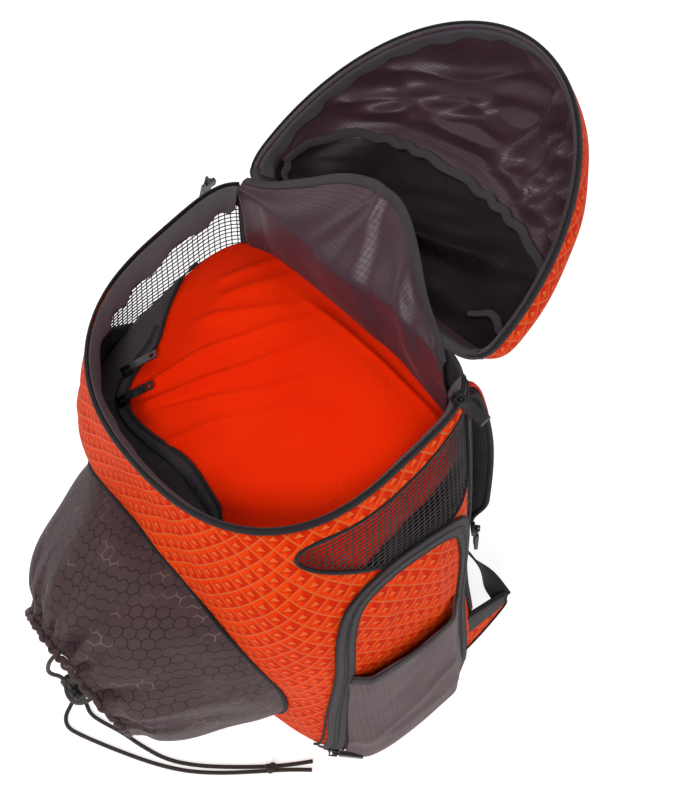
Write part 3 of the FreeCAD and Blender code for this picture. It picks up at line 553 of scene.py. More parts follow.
class Paint:
    """A procedural material, built socket by socket."""

    def __init__(self, name, **settings):
        self.material = bpy.data.materials.new(name)
        self.material.use_nodes = True
        self.tree = self.material.node_tree
        self.shader = self.tree.nodes["Principled BSDF"]
        for key, value in settings.items():
            self.shader.inputs[key.replace("_", " ")].default_value = value
        self.place = self.node("ShaderNodeAttribute")
        self.place.attribute_name = "cloth"
        self.flat = self.place.outputs["Vector"]
        split = self.node("ShaderNodeSeparateXYZ")
        self.link(self.flat, split.inputs[0])
        self.x, self.y = split.outputs[0], split.outputs[1]

    def node(self, kind):
        return self.tree.nodes.new(kind)

    def link(self, source, target):
        self.tree.links.new(source, target)

    def feed(self, target, value):
        if isinstance(value, (int, float, tuple)):
            target.default_value = value
        else:
            self.link(value, target)

    def math(self, operation, *values):
        """Result of a sum or other operation on sockets and numbers."""
        node = self.node("ShaderNodeMath")
        node.operation = operation
        for target, value in zip(node.inputs, values):
            self.feed(target, value)
        return node.outputs[0]

    def step(self, value, low, high, first=0.0, last=1.0):
        """Smooth step between two values."""
        node = self.node("ShaderNodeMapRange")
        node.interpolation_type = "SMOOTHSTEP"
        for target, number in zip(node.inputs, (value, low, high, first, last)):
            self.feed(target, number)
        return node.outputs[0]

    def mix(self, share, first, second):
        """Colour between the first (share 0) and the second (share 1)."""
        node = self.node("ShaderNodeMix")
        node.data_type = "RGBA"
        self.feed(node.inputs["Factor"], share)
        self.feed(node.inputs[6], first)
        self.feed(node.inputs[7], second)
        return node.outputs[2]

    def noise(self, length, detail=2.0, vector=None, stretch=None):
        """Soft noise, about 0 to 1, with features of a length in millimetres."""
        node = self.node("ShaderNodeTexNoise")
        node.inputs["Detail"].default_value = detail
        node.inputs["Scale"].default_value = 1.0 / length
        source = vector or self.flat
        if stretch:
            scale = self.node("ShaderNodeVectorMath")
            scale.operation = "MULTIPLY"
            self.link(source, scale.inputs[0])
            scale.inputs[1].default_value = stretch
            source = scale.outputs[0]
        self.link(source, node.inputs["Vector"])
        return node.outputs["Fac"]

    def wave(self, value, length):
        """Sine of a place, -1 to 1, with one turn in a length."""
        return self.math("SINE", self.math("MULTIPLY", value, 2 * math.pi / length))

    def weave(self, length):
        """Plain weave of threads at a spacing."""
        return self.math("MULTIPLY", self.wave(self.x, length), self.wave(self.y, length))

    def relief(self, height, depth):
        """Bump from a height in parts of a depth in millimetres."""
        node = self.node("ShaderNodeBump")
        node.inputs["Strength"].default_value = 1.0
        node.inputs["Distance"].default_value = depth * MM
        self.link(height, node.inputs["Height"])
        self.link(node.outputs[0], self.shader.inputs["Normal"])

    def colour(self, value):
        self.feed(self.shader.inputs["Base Color"], value)

    def rough(self, value):
        self.feed(self.shader.inputs["Roughness"], value)


def trellis_fabric():
    """Orange polyester with a printed trellis and a small triangle in every cell."""
    wide, high = 20.0, 21.0
    paint = Paint("trellis_fabric", Sheen_Weight=0.0, Specular_IOR_Level=0.04)
    m = paint.math
    across, along = m("DIVIDE", paint.x, wide), m("DIVIDE", paint.y, high)
    first, second = m("FRACT", m("ADD", across, along)), m("FRACT", m("SUBTRACT", across, along))
    edge = m("MINIMUM", m("MINIMUM", first, m("SUBTRACT", 1.0, first)),
             m("MINIMUM", second, m("SUBTRACT", 1.0, second)))
    line = paint.step(edge, 0.032, 0.06, 1.0, 0.0)
    right = m("MULTIPLY", m("SUBTRACT", m("ADD", first, second), 1.0), wide / 2)
    up = m("MULTIPLY", m("SUBTRACT", first, second), high / 2)
    slope = m("SUBTRACT", m("SUBTRACT", 3.0, up),
              m("MULTIPLY", m("ABSOLUTE", m("ADD", right, 0.5)), 1.25))
    triangle = m("MINIMUM", m("ADD", up, 2.3), slope)
    mark = paint.step(triangle, 0.0, 0.5)
    halo = paint.step(triangle, -2.6, -0.2)
    patch = paint.noise(60, 3)
    ground = paint.mix(paint.step(patch, 0.35, 0.7), tint(240, 64, 2), tint(226, 50, 0))
    shade = paint.mix(paint.step(right, -1.5, 2.5), ground, tint(208, 38, 0))
    shade = paint.mix(m("MULTIPLY", halo, 0.55), shade, tint(188, 28, 0))
    shade = paint.mix(mark, shade, tint(226, 100, 42))
    paint.colour(paint.mix(line, shade, tint(212, 98, 44)))
    paint.rough(paint.step(line, 0, 1, 0.62, 0.45))
    height = m("ADD", m("MULTIPLY", paint.weave(0.9), 0.35), m("MULTIPLY", line, 0.6))
    paint.relief(m("ADD", height, m("MULTIPLY", paint.noise(5, 3), 0.8)), 0.22)
    return paint.material


def honeycomb_fabric():
    """Brown-grey polyester printed with broken honeycomb lines."""
    size = 12.2
    paint = Paint("honeycomb_fabric", Sheen_Weight=0.03, Specular_IOR_Level=0.22)
    m = paint.math
    row = size * math.sqrt(3)

    def cell(x, y):
        """Offset from the middle of the nearest cell of one of the two staggered lattices."""
        gx = m("SUBTRACT", m("FLOORED_MODULO", x, size), size / 2)
        gy = m("SUBTRACT", m("FLOORED_MODULO", y, row), row / 2)
        return gx, gy, m("ADD", m("MULTIPLY", gx, gx), m("MULTIPLY", gy, gy))

    ax, ay, a2 = cell(paint.x, paint.y)
    bx, by, b2 = cell(m("ADD", paint.x, size / 2), m("ADD", paint.y, row / 2))
    nearer = m("LESS_THAN", a2, b2)
    gx = m("ABSOLUTE", m("ADD", m("MULTIPLY", ax, nearer),
                         m("MULTIPLY", bx, m("SUBTRACT", 1.0, nearer))))
    gy = m("ABSOLUTE", m("ADD", m("MULTIPLY", ay, nearer),
                         m("MULTIPLY", by, m("SUBTRACT", 1.0, nearer))))
    reach = m("MAXIMUM", gx, m("ADD", m("MULTIPLY", gx, 0.5), m("MULTIPLY", gy, 0.866)))
    line = paint.step(reach, size / 2 - 0.75, size / 2 - 0.35)
    upright = paint.step(m("SUBTRACT", gx, reach), -0.3, 0.0)
    zone = paint.noise(42, 1)
    broken = m("MULTIPLY", upright, paint.step(zone, 0.5, 0.56))
    line = m("MULTIPLY", line, m("SUBTRACT", 1.0, broken))
    pale = paint.step(paint.noise(48, 1, stretch=(1.0, 1.6, 1.0)), 0.56, 0.64)
    soft = paint.noise(30, 3)
    ground = paint.mix(soft, tint(62, 43, 46), tint(84, 63, 66))
    paint.colour(paint.mix(m("MULTIPLY", line, 0.85), ground,
                           paint.mix(pale, tint(20, 13, 15), tint(122, 101, 94))))
    paint.rough(0.52)
    paint.relief(m("ADD", m("MULTIPLY", paint.weave(0.8), 0.4),
                   m("ADD", m("MULTIPLY", line, -0.5), m("MULTIPLY", paint.noise(4, 2), 0.7))), 0.2)
    return paint.material


def satin_lining(name, pale, dark, gloss=0.46):
    """Thin satin lining with a faint ripstop grid."""
    paint = Paint(name, Sheen_Weight=0.06, Sheen_Roughness=0.35, Specular_IOR_Level=gloss)
    m = paint.math
    soft = paint.noise(55, 3)
    grid = m("MAXIMUM", paint.step(paint.wave(paint.x, 3.2), 0.93, 1.0),
             paint.step(paint.wave(paint.y, 3.2), 0.93, 1.0))
    ground = paint.mix(soft, dark, pale)
    paint.colour(paint.mix(m("MULTIPLY", grid, 0.25), ground, tint(34, 21, 28)))
    paint.rough(paint.step(soft, 0, 1, 0.36, 0.5))
    paint.relief(m("ADD", m("MULTIPLY", grid, 0.5), m("MULTIPLY", paint.noise(9, 3), 1.2)), 0.25)
    return paint.material


def knit_fabric():
    """Orange-red knit with fine ribs."""
    paint = Paint("knit_fabric", Sheen_Weight=0.0, Sheen_Roughness=0.5, Specular_IOR_Level=0.04)
    m = paint.math
    rib = paint.wave(paint.x, 2.3)
    loop = paint.wave(paint.y, 1.7)
    ground = paint.mix(paint.noise(70, 2), tint(232, 32, 0), tint(248, 50, 2))
    paint.colour(paint.mix(paint.step(rib, -0.6, 1.0, 0.0, 0.22), ground, tint(196, 20, 0)))
    paint.rough(0.78)
    paint.relief(m("ADD", m("MULTIPLY", rib, 0.5), m("MULTIPLY", loop, 0.25)), 0.3)
    return paint.material


def tape_fabric(name, colour, rib=1.5, length_wise=True):
    """Woven tape with cross ribs."""
    paint = Paint(name, Sheen_Weight=0.05, Specular_IOR_Level=0.2)
    m = paint.math
    ribs = paint.wave(paint.x if length_wise else paint.y, rib)
    twill = paint.wave(m("ADD", paint.x, paint.y), rib * 1.3)
    ground = paint.mix(paint.noise(18, 3), colour, scaled(colour, 1.35))
    paint.colour(paint.mix(paint.step(ribs, -0.5, 1.0, 0.5, 0.0), ground, scaled(colour, 0.55)))
    paint.rough(0.72)
    paint.relief(m("ADD", m("MULTIPLY", ribs, 0.7), m("MULTIPLY", twill, 0.3)), 0.25)
    return paint.material


def plain_fabric(name, colour, second, weave=1.1, grid=0.0, roughness=0.7):
    """Plain woven cloth with soft colour changes and, if asked, a ripstop or mesh grid."""
    paint = Paint(name, Sheen_Weight=0.05, Specular_IOR_Level=0.2)
    m = paint.math
    ground = paint.mix(paint.noise(25, 4), colour, second)
    height = m("MULTIPLY", paint.weave(weave), 0.6)
    if grid:
        lines = m("MAXIMUM", paint.wave(paint.x, grid), paint.wave(paint.y, grid))
        mask = paint.step(lines, 0.55, 0.95)
        ground = paint.mix(m("MULTIPLY", mask, 0.7), ground, scaled(colour, 0.5))
        height = m("ADD", height, m("MULTIPLY", mask, -0.6))
    paint.colour(ground)
    paint.rough(roughness)
    paint.relief(m("ADD", height, m("MULTIPLY", paint.noise(6, 3), 0.6)), 0.25)
    return paint.material


def solid_surface(name, colour, roughness, metallic=0.0, grain=2.0, depth=0.02):
    """Moulded or cast surface, placed by the object's own coordinates."""
    paint = Paint(name, Metallic=metallic)
    where = paint.node("ShaderNodeTexCoord").outputs["Object"]
    larger = paint.node("ShaderNodeVectorMath")
    larger.operation = "SCALE"
    paint.link(where, larger.inputs[0])
    larger.inputs["Scale"].default_value = 1 / MM
    spot = larger.outputs[0]
    wear = paint.noise(grain * 3, 4, spot)
    paler = tuple(min(1, value * 1.9 + 0.01) for value in colour[:3]) + (1.0,)
    paint.colour(paint.mix(paint.step(wear, 0.45, 0.8), colour, paler))
    paint.rough(paint.step(wear, 0.3, 0.8, roughness, roughness + 0.15))
    paint.relief(paint.noise(grain * 0.3, 2, spot), depth)
    return paint.material


def braid():
    """Round braided cord, placed by the object's own coordinates."""
    paint = Paint("cord_braid", Specular_IOR_Level=0.3, Sheen_Weight=0.15)
    m = paint.math
    where = paint.node("ShaderNodeTexCoord").outputs["Object"]
    split = paint.node("ShaderNodeSeparateXYZ")
    paint.link(where, split.inputs[0])
    x, y, z = split.outputs
    run = m("MULTIPLY", m("ADD", x, m("MULTIPLY", y, 0.6)), 1 / MM)
    turn = m("MULTIPLY", m("SUBTRACT", z, m("MULTIPLY", y, 0.4)), 1 / MM)
    left, right = paint.wave(m("ADD", run, turn), 1.9), paint.wave(m("SUBTRACT", run, turn), 1.9)
    strand = m("MULTIPLY", left, right)
    paint.colour(paint.mix(paint.step(strand, -0.8, 0.6), tint(30, 24, 22), tint(78, 66, 60)))
    paint.rough(0.75)
    paint.relief(strand, 0.35)
    return paint.material


ORANGE = trellis_fabric()
ORANGE_PLAIN = plain_fabric("orange_plain", tint(240, 66, 14), tint(222, 52, 8), 1.0)
HONEYCOMB = honeycomb_fabric()
LINING = satin_lining("purple_lining", tint(78, 48, 60), tint(46, 27, 36))
# Near-black satin for the lining's hollow below the arc seam: painted shadow of that hollow.
PAINTED_SHADOW_SATIN = satin_lining("painted_shadow_satin", tint(30, 18, 26), tint(16, 9, 14), 0.16)
KNIT = knit_fabric()
TAPE = tape_fabric("dark_tape", tint(62, 54, 58))
INNER_TAPE = tape_fabric("inner_tape", tint(88, 83, 89), 1.2)
BINDING = tape_fabric("grey_binding", tint(64, 58, 62), 1.1)
BLACK_TAPE = tape_fabric("black_binding", tint(30, 27, 30), 1.2)
COIL = solid_surface("zip_coil", tint(20, 19, 20), 0.42)
NET = plain_fabric("net_strands", tint(80, 73, 74), tint(58, 53, 54), 0.7)
GREY = plain_fabric("grey_body_fabric", tint(66, 62, 65), tint(52, 49, 52), 1.0)
DARK_LINING = plain_fabric("dark_backing", tint(44, 38, 42), tint(34, 30, 33), 1.2)
POUCH_CLOTH = plain_fabric("pouch_ripstop", tint(112, 92, 95), tint(76, 59, 63), 2.2, 4.4, 0.6)
AIR_MESH = plain_fabric("air_mesh", tint(48, 46, 50), tint(38, 36, 40), 1.4, 3.4, 0.85)
WEBBING = tape_fabric("black_webbing", tint(34, 32, 34), 1.8)
PLASTIC = solid_surface("black_moulding", tint(22, 21, 22), 0.38)
ENAMEL = solid_surface("dark_enamel", tint(44, 43, 44), 0.3, 0.85, 1.5)
STEEL = solid_surface("grey_steel", tint(92, 92, 94), 0.34, 0.9, 1.5)
CORD = braid()


# ---------------------------------------------------------------- hardware that the CAD shapes
def dress_cad():
    """Materials of the nodes whose CAD shape is shown."""
    for name, node in NODES.items():
        if name.endswith("_slider"):
            material = ENAMEL
        elif name.startswith("divider") and name.endswith("_pull"):
            material = STEEL
        elif name.endswith("_pull") or name.startswith(("ladder_lock", "cord_lock")):
            material = PLASTIC
        else:
            continue
        for slot in node.material_slots:
            slot.material = material
    for cord in CORDS.values():
        cord.data.materials.append(CORD)


dress_cad()


# ---------------------------------------------------------------- main bag
def bag_place(axis, goal, height, turn):
    """Turns and levels where the bag's skin has these x (axis 0) or y (axis 1) and heights."""
    goal, height = np.asarray(goal, float), np.asarray(height, float)
    turn = np.full(goal.shape, float(turn)) if np.ndim(turn) == 0 else np.array(turn, float)
    level = np.clip(height / RIM_TOP, 0.01, 0.99)
    step = 1e-3
    for _ in range(SOLVE_ROUNDS):
        here = BAG.at(turn, level)
        by_turn = (BAG.at(turn + step, level) - here) / step
        by_level = (BAG.at(turn, level + step) - here) / step
        miss = np.stack([goal - here[..., axis], height - here[..., 2]])
        a, b = by_turn[..., axis], by_level[..., axis]
        c, d = by_turn[..., 2], by_level[..., 2]
        det = a * d - b * c
        turn = turn + np.clip((d * miss[0] - b * miss[1]) / det, -0.05, 0.05)
        level = np.clip(level + np.clip((a * miss[1] - c * miss[0]) / det, -0.1, 0.1), 0, 1)
    return turn, level


def side_turn(side, depth):
    """Nearly the turn of a depth on the right (1) or left (-1) side."""
    start = (np.asarray(depth, float) + 10) / 940
    return start if side > 0 else 0.5 - start


def side_at(side, depth, height, lift=0.0):
    """Points and outward directions on the bag's right (1) or left (-1) side."""
    turn, level = bag_place(1, depth, height, side_turn(side, depth))
    normal = BAG.normal(turn, level)
    return BAG.at(turn, level) + normal * np.asarray(lift)[..., None], normal


SIDES = {"right": 1, "left": -1}
# depths and heights of the side windows' outline and of the side pockets' zip
WINDOW = ((-84, 394), (-62, 411), (-36, 412), (8, 416), (46, 429), (80, 446), (92, 430),
          (92, 385), (84, 348), (44, 332), (5, 334), (-25, 353), (-53, 375))
ARCH = ((-90, 40), (-82, 130), (-70, 235), (-64, 290), (-50, 326), (-20, 340), (18, 338),
        (46, 328), (61, 306), (65, 250), (58, 170), (51, 85), (48, 48))
BACK_TURN, FRONT_TURN = 0.25, 0.75
EDGE_TURN = 0.098      # turn from the middle of a side to its back seam
WINDOW_LINE = spline_outline(WINDOW)


def shell_outlines():
    """The windows' outlines and the ball pocket's, as lengths round and up the bag."""
    outlines = {}
    for name, side in SIDES.items():
        depth, height = WINDOW_LINE.T
        turn, level = bag_place(1, depth, height, side_turn(side, depth) + (side > 0))
        outlines[name] = np.column_stack([turn * AROUND, level * TALL])
    return outlines


# ---------------------------------------------------------------- ball pocket shape
# depth, place across, half width, lowest, widest and highest height, and two squarenesses
POCKET_OUTLINES = (
    (-110, -14, 136, 50, 190, 308, 2.2, 2.8), (-134, -16, 131, 53, 186, 308, 2.1, 2.4),
    (-160, -19, 120, 60, 181, 303, 2.0, 2.1), (-190, -20, 107, 74, 181, 288, 2.0, 2.0),
    (-216, -20, 87, 94, 181, 268, 2.0, 2.0), (-240, -20, 51, 130, 181, 232, 2.0, 2.0))
MOUTH = np.array([-20, -228, 167.0])
MOUTH_TILT = math.radians(7.5)
MOUTH_WAY = np.array([0, -math.cos(MOUTH_TILT), -math.sin(MOUTH_TILT)])
MOUTH_RADIUS = 71.7
BALL_CENTRE = np.array([-20, -127, 181.0])


def make_pocket_skin():
    """Outside of the ball pocket, from the bag to its mouth."""
    rings = []
    for depth, across, half, low, widest, high, low_power, high_power in POCKET_OUTLINES:
        flat = ring(half, low, high, widest, low_power, high_power)
        rings.append(np.column_stack([across + flat[:, 0], np.full(RING_POLES, depth),
                                      flat[:, 1]]))
    return Skin(rings)


POCKET = make_pocket_skin()


def pocket_reach(turns):
    """Levels where each line of the pocket leaves the bag and where it meets the mouth."""
    levels = np.linspace(0, 1, 121)
    grid = POCKET.at(turns[:, None], levels[None, :])
    flat = grid.reshape(-1, 3)
    bag_turns, bag_levels = bag_place(0, flat[:, 0], flat[:, 2], FRONT_TURN)
    front = BAG.at(bag_turns, bag_levels)[:, 1].reshape(grid.shape[:2])
    out = front - grid[..., 1] > 0.3
    seam = levels[np.argmax(out, axis=1)]
    past = ((grid - MOUTH) @ MOUTH_WAY) > 0
    mouth = levels[np.where(past.any(1), np.argmax(past, axis=1), -1)]
    return seam, mouth


def bag_outer(a, b, lift=0.0):
    """Points and directions of the bag's outside for lengths round (a) and up (b)."""
    turn, level = np.asarray(a) / AROUND, np.clip(np.asarray(b) / TALL, 0, 1)
    normal = BAG.normal(turn, level)
    return BAG.at(turn, level) + normal * np.asarray(lift)[..., None], normal


def pocket_seam_outline(turns):
    """The ball pocket's seam on the bag, as points."""
    seam, _ = pocket_reach(turns)
    return POCKET.at(turns, seam)


def make_shell():
    """Orange body from one back seam round the front to the other, with its openings."""
    a_values = np.arange((0.5 - EDGE_TURN) * AROUND, (1 + EDGE_TURN) * AROUND + 1, 3.6)
    b_values = np.linspace(0, TALL * 0.985, 124)
    windows = shell_outlines()
    turns = np.arange(96) / 96
    seam = pocket_seam_outline(turns)
    middle = seam.mean(0)
    hole = middle + (seam - middle) * 0.93
    turn, level = bag_place(0, hole[:, 0], hole[:, 2], FRONT_TURN)
    hole = np.column_stack([turn * AROUND, level * TALL])
    flat, faces = trimmed_grid(a_values, b_values,
                               outside=[windows["right"], windows["left"], hole])
    points, normals = bag_outer(flat[:, 0], flat[:, 1])
    a, b = flat.T
    wrinkle = Ripple(3, 95)(a, b) * 1.5 + Ripple(5, 34)(a, b) * 0.35
    beside = (np.abs(points[:, 0]) > 120) & (points[:, 2] < 352)
    calm = np.where(beside, ramp(-points[:, 1], 88, 112), 1.0)
    calm = calm * ramp(b, 5, 60) * ramp(TALL * 0.975 - b, 0, 45)
    near_end = np.minimum(a - a_values[0], a_values[-1] - a)
    calm = calm * ramp(near_end, 10, 40)
    for outline in list(windows.values()) + [hole]:
        gap = nearest_on_outline(outline, flat)[1]
        calm = calm * ramp(gap, 2, 24)
    front = ramp(-points[:, 1], 60, 110)
    quilt = bump(b, TALL * 0.80, 16) * front * Ripple(8, 60)(a, b) * 1.2
    points = points + normals * ((wrinkle + quilt) * calm)[:, None]
    doubled, all_faces, cloth = thicken(points, normals, faces, 2.2, flat)
    piece = add_mesh("body_shell", doubled, all_faces, PACK, ORANGE,
                     ("front_panel", "side_panel_right", "side_panel_left"), cloth)
    line_inside(piece, len(faces))
    return windows


def make_back_and_base():
    """Back panel and base of plain grey cloth, and the seams round them."""
    turns = np.linspace(EDGE_TURN, 0.5 - EDGE_TURN, 110)
    levels = np.linspace(0, 0.99, 120)
    a, b = np.meshgrid(turns * AROUND, levels * TALL)
    points, normals = bag_outer(a, b)
    sag = Ripple(11, 80)(a, b) * 0.8
    points = (points + normals * sag[..., None]).reshape(-1, 3)
    normals = normals.reshape(-1, 3)
    cloth = np.column_stack([a.ravel(), b.ravel()])
    doubled, faces, cloth = thicken(points, normals, grid_faces(*a.shape), 2.2, cloth)
    add_mesh("back_fabric", doubled, faces, PACK, GREY, ("back_panel",), cloth)
    for name, turn in (("right", EDGE_TURN), ("left", 0.5 - EDGE_TURN)):
        levels = np.linspace(0.004, 0.985, 120)
        line, normal = BAG.at(turn, levels), BAG.normal(turn, levels)
        band(f"back_piping_{name}", line, normal, 4.2, 3.6, PACK, BLACK_TAPE, lift=0.6)
    turns = np.linspace(0, 1, 160, endpoint=False)
    edge = BAG.at(turns, 0.0)
    rows = []
    for share in np.linspace(1, 0, 30):
        ring_points = edge * np.array([share, share, 0])
        ring_points[:, 2] = 0.8 + 2.0 * (1 - share ** 6) * (0.5 + 0.5 * np.cos(share * 9))
        rows.append(ring_points)
    points = np.vstack(rows)
    faces = grid_faces(len(rows), len(turns), True)
    add_cloth("base_fabric", points, repeat((0, 0, -1), len(points)), faces, 2.0, points[:, :2],
              PACK, GREY, ("base_panel",))
    edge = BAG.at(turns, 0.012)
    band("base_piping", edge, BAG.normal(turns, 0.012), 4, 3.2, PACK, BLACK_TAPE,
         closed=True)


NET_WIDE, NET_HIGH = 5.6, 3.9


def make_windows(windows):
    """Coarse net in each side's window, with its binding."""
    for name, side in SIDES.items():
        outline = windows[name]
        low, high = outline.min(0) - 4, outline.max(0) + 4
        flat, faces = trimmed_grid(np.arange(low[0], high[0], NET_WIDE),
                                   np.arange(low[1], high[1], NET_HIGH), inside=[outline])
        slack = Ripple(20 + side, 70)(flat[:, 0], flat[:, 1]) * 1.0 - 1.6
        points, normals = bag_outer(flat[:, 0], flat[:, 1], slack)
        net = add_mesh(f"window_net_{name}", points, faces, PACK, NET,
                       (f"mesh_window_{name}",), flat)
        tidy_mesh(net, 0.9)
        wires = net.modifiers.new("strands", "WIREFRAME")
        wires.thickness = 1.35 * MM
        wires.use_replace = True
        wires.use_even_offset = False
        edge = smooth_line(outline, 150, closed=True)
        points, normals = bag_outer(edge[:, 0], edge[:, 1], -0.4)
        band(f"window_edge_{name}", points, normals, 3.4, 2.6, PACK, BLACK_TAPE,
             closed=True, count=8)


COIL_SIDES = 6
COIL_ENDS = (-0.5, -0.36, 0.36, 0.5)
COIL_SIZES = (0.35, 1.0, 1.0, 0.35)


def coil(name, line, outwards, body, across, pitch):
    """Row of zip coil loops along a line, each lying across it."""
    length = reach_of(line)[-1]
    count = max(4, int(length / pitch))
    spots = smooth_line(np.hstack([line, outwards]), count)
    centre, up = spots[:, :3], spots[:, 3:]
    along, up, side = frames_along(centre, up)
    shape = oval(1.25, 1.5, COIL_SIDES)
    loop = grid_faces(len(COIL_ENDS), COIL_SIDES, True)
    caps = [tuple(range(COIL_SIDES))[::-1], tuple(range(len(shape) * 3, len(shape) * 4))]
    points, faces, cloth = [], [], []
    for place, t, u, s in zip(centre, along, up, side):
        first = len(points)
        for end, size in zip(COIL_ENDS, COIL_SIZES):
            for x, y in shape * size:
                points.append(place + s * across * end + t * x + u * y)
                cloth.append((x, y))
        faces += [tuple(first + corner for corner in face) for face in loop + caps]
    add_mesh(name, points, faces, body, COIL, (), cloth)


def make_rim():
    """Zip half round the bag's rim, with its tape outside and the wide tape inside."""
    turns = np.linspace(0.5 - EDGE_TURN, 1 + EDGE_TURN, 300)
    top = BAG.at(turns, 1.0)
    normal = BAG.normal(turns, 0.985)
    down = unit(BAG.at(turns, 0.97) - top)
    band("rim_tape", top + down * 2.6 - normal * 0.2, normal, 5.6, 2.2, PACK,
         BLACK_TAPE, ("rim_zip",))
    coil("rim_coil", top + down * 0.6 - normal * 0.9, normal, PACK, 3.4, 2.0)
    reach = reach_of(top)
    ruffle = np.sin(reach / 6.3 + 1.3 * np.sin(reach / 23))
    hem = 19 + 1.7 * ruffle + 1.2 * np.sin(reach / 15.5)
    rows, cloth = [], []
    for share in np.linspace(0, 1, 14):
        depth = 1.0 + (hem - 1.0) * share
        ripple = ruffle * 1.3 * share ** 2
        inwards = 3.4 + 9.5 * share + 1.6 * math.sin(math.pi * share) + ripple
        rows.append(top + down * depth[:, None] - normal * inwards[:, None])
        cloth.append(np.column_stack([reach, np.full(len(reach), share * 24)]))
    points = np.vstack(rows)
    faces = grid_faces(len(rows), len(turns))
    normals = faced(point_normals(points, faces), np.tile(-normal, (len(rows), 1)))
    add_cloth("rim_inner_tape", points, normals, faces, 1.4, np.vstack(cloth), PACK,
              INNER_TAPE, ("rim_facing",))


# ---------------------------------------------------------------- divider
DIVIDER_RADIUS = 500.0
DIVIDER_TILT = math.radians(19)
DIVIDER_TOP = np.array([0, -15, 390.0])
DIVIDER_MIDDLE = DIVIDER_TOP - np.array([0, -math.sin(DIVIDER_TILT),
                                         math.cos(DIVIDER_TILT)]) * DIVIDER_RADIUS
DIVIDER_CENTRE = np.array([0.0, -12.0])
RIDGES = (-26, 2, 27, 50, 76, 102, 122)     # places across the knit
TAPE_WIDTH = 45
CHAIN_INSET = 36


def divider_height(x, y, lift=0.0):
    """Height of the divider's upper face."""
    middle = DIVIDER_MIDDLE
    reach = (DIVIDER_RADIUS + lift) ** 2 - (x - middle[0]) ** 2 - (y - middle[1]) ** 2
    return middle[2] + np.sqrt(reach)


def wall_radius(angles, inset):
    """Distance from the divider's centre to the bag's inside at each angle."""
    fine = np.linspace(0, 1, 721)
    level = np.full(721, 0.87)
    for _ in range(SOLVE_ROUNDS):
        ring_points = BAG.at(fine, level)
        inwards = ring_points[:, :2] - BAG.normal(fine, level)[:, :2] * inset
        goal = divider_height(inwards[:, 0], inwards[:, 1])
        level = np.clip(level + (goal - ring_points[:, 2]) / 420, 0.3, 1.0)
    offset = inwards - DIVIDER_CENTRE
    angle = np.unwrap(np.arctan2(offset[:, 1], offset[:, 0]))
    order = np.argsort(angle)
    return np.interp(angles, angle[order], np.hypot(*offset.T)[order], period=2 * np.pi)


def polar(angles, radius):
    """Flat points at these angles and distances from the divider's centre."""
    way = np.column_stack([np.cos(angles), np.sin(angles)])
    return DIVIDER_CENTRE + way * np.asarray(radius)[:, None]


def knit_relief(x, y, inwards):
    """Soft ridges, the fold at the back, and the smooth strip beside the zip."""
    along = 0.54 * x + 0.84 * y
    across = -0.84 * x + 0.54 * y
    left = ramp(-along, -75, 95)
    relief = np.zeros(len(x))
    rng = np.random.default_rng(12)
    for place in RIDGES:
        bend = rng.uniform(-0.16, 0.16)
        width = rng.uniform(4.0, 7.5)
        height = rng.uniform(5.2, 7.8)
        line = across - place - bend * along + 4 * np.sin(along / 38 + place)
        relief += bump(line, 0, width) * height * left
    relief += Ripple(31, 70)(x, y) * 1.1 * ramp(inwards, 0.02, 0.3)
    relief += bump(y, 74 + 3 * np.sin(x / 60), 2.6) * 2.0 * ramp(x, -70, 0)
    relief += -2.6 * ramp(y, 75, 84) * ramp(x, -70, 0)
    ahead = y - DIVIDER_CENTRE[1]
    facing = -(0.5 * x + 0.86 * ahead) / np.maximum(np.hypot(x, ahead), 1)
    smooth_strip = ramp(facing, 0, 0.2) * (1 - ramp(inwards, 0.31, 0.42))
    return relief * (ramp(inwards, 0.0, 0.05) * (1 - smooth_strip))


def make_divider():
    """Knit divider with soft ridges."""
    angles = np.linspace(0, 2 * np.pi, 220, endpoint=False)
    reach = wall_radius(angles, 5.2)
    shares = np.linspace(1, 0, 84)
    flat = np.vstack([polar(angles, reach * share) for share in shares])
    x, y = flat.T
    relief = knit_relief(x, y, 1 - np.repeat(shares, len(angles)))
    points = np.column_stack([x, y, divider_height(x, y, 0.4) + relief])
    faces = grid_faces(len(shares), len(angles), True)
    normals = faced(point_normals(points, faces), UP)
    add_cloth("divider_knit", points, normals, faces, 2.2, flat, PACK, KNIT,
              ("divider_panel",))


def make_divider_zip():
    """Zip round the divider's front: its tape, its chain and the tape's bound edge."""
    start, stop = math.radians(160), math.radians(318)
    angles = np.linspace(start, stop, 150)
    reach = wall_radius(angles, 5.6)
    taper = ramp(angles, start, start + 0.6) * ramp(-angles, -stop, -stop + 0.3)
    rows, cloth = [], []
    for share in np.linspace(0, 1, 12):
        spot = polar(angles, reach - TAPE_WIDTH * share * taper)
        lift = 3.0 + 1.2 * math.sin(math.pi * share) + Ripple(41, 40)(*spot.T) * 0.5
        rows.append(np.column_stack([spot, divider_height(*spot.T, lift)]))
        cloth.append(np.column_stack([angles * 120, np.full(len(angles), TAPE_WIDTH * share)]))
    points = np.vstack(rows)
    faces = grid_faces(len(rows), len(angles))
    normals = faced(point_normals(points, faces), UP)
    add_cloth("divider_zip_tape", points, normals, faces, 1.2, np.vstack(cloth), PACK,
              TAPE, ("divider_zip",))
    spot = polar(angles, reach - CHAIN_INSET * taper)
    chain = np.column_stack([spot, divider_height(*spot.T, 4.3)])[22:-12]
    coil("divider_chain", chain, repeat(UP, len(chain)), PACK, 4.6, 2.0)
    edge = rows[-1][6:-6]
    band("divider_tape_edge", edge + [0, 0, 0.4], repeat(UP, len(edge)), 3.0, 2.2, PACK,
         BLACK_TAPE, count=8)


# ---------------------------------------------------------------- side pockets
def arch_line(count):
    """Line of the side pocket's zip, as depths and heights."""
    return smooth_line(ARCH, count)


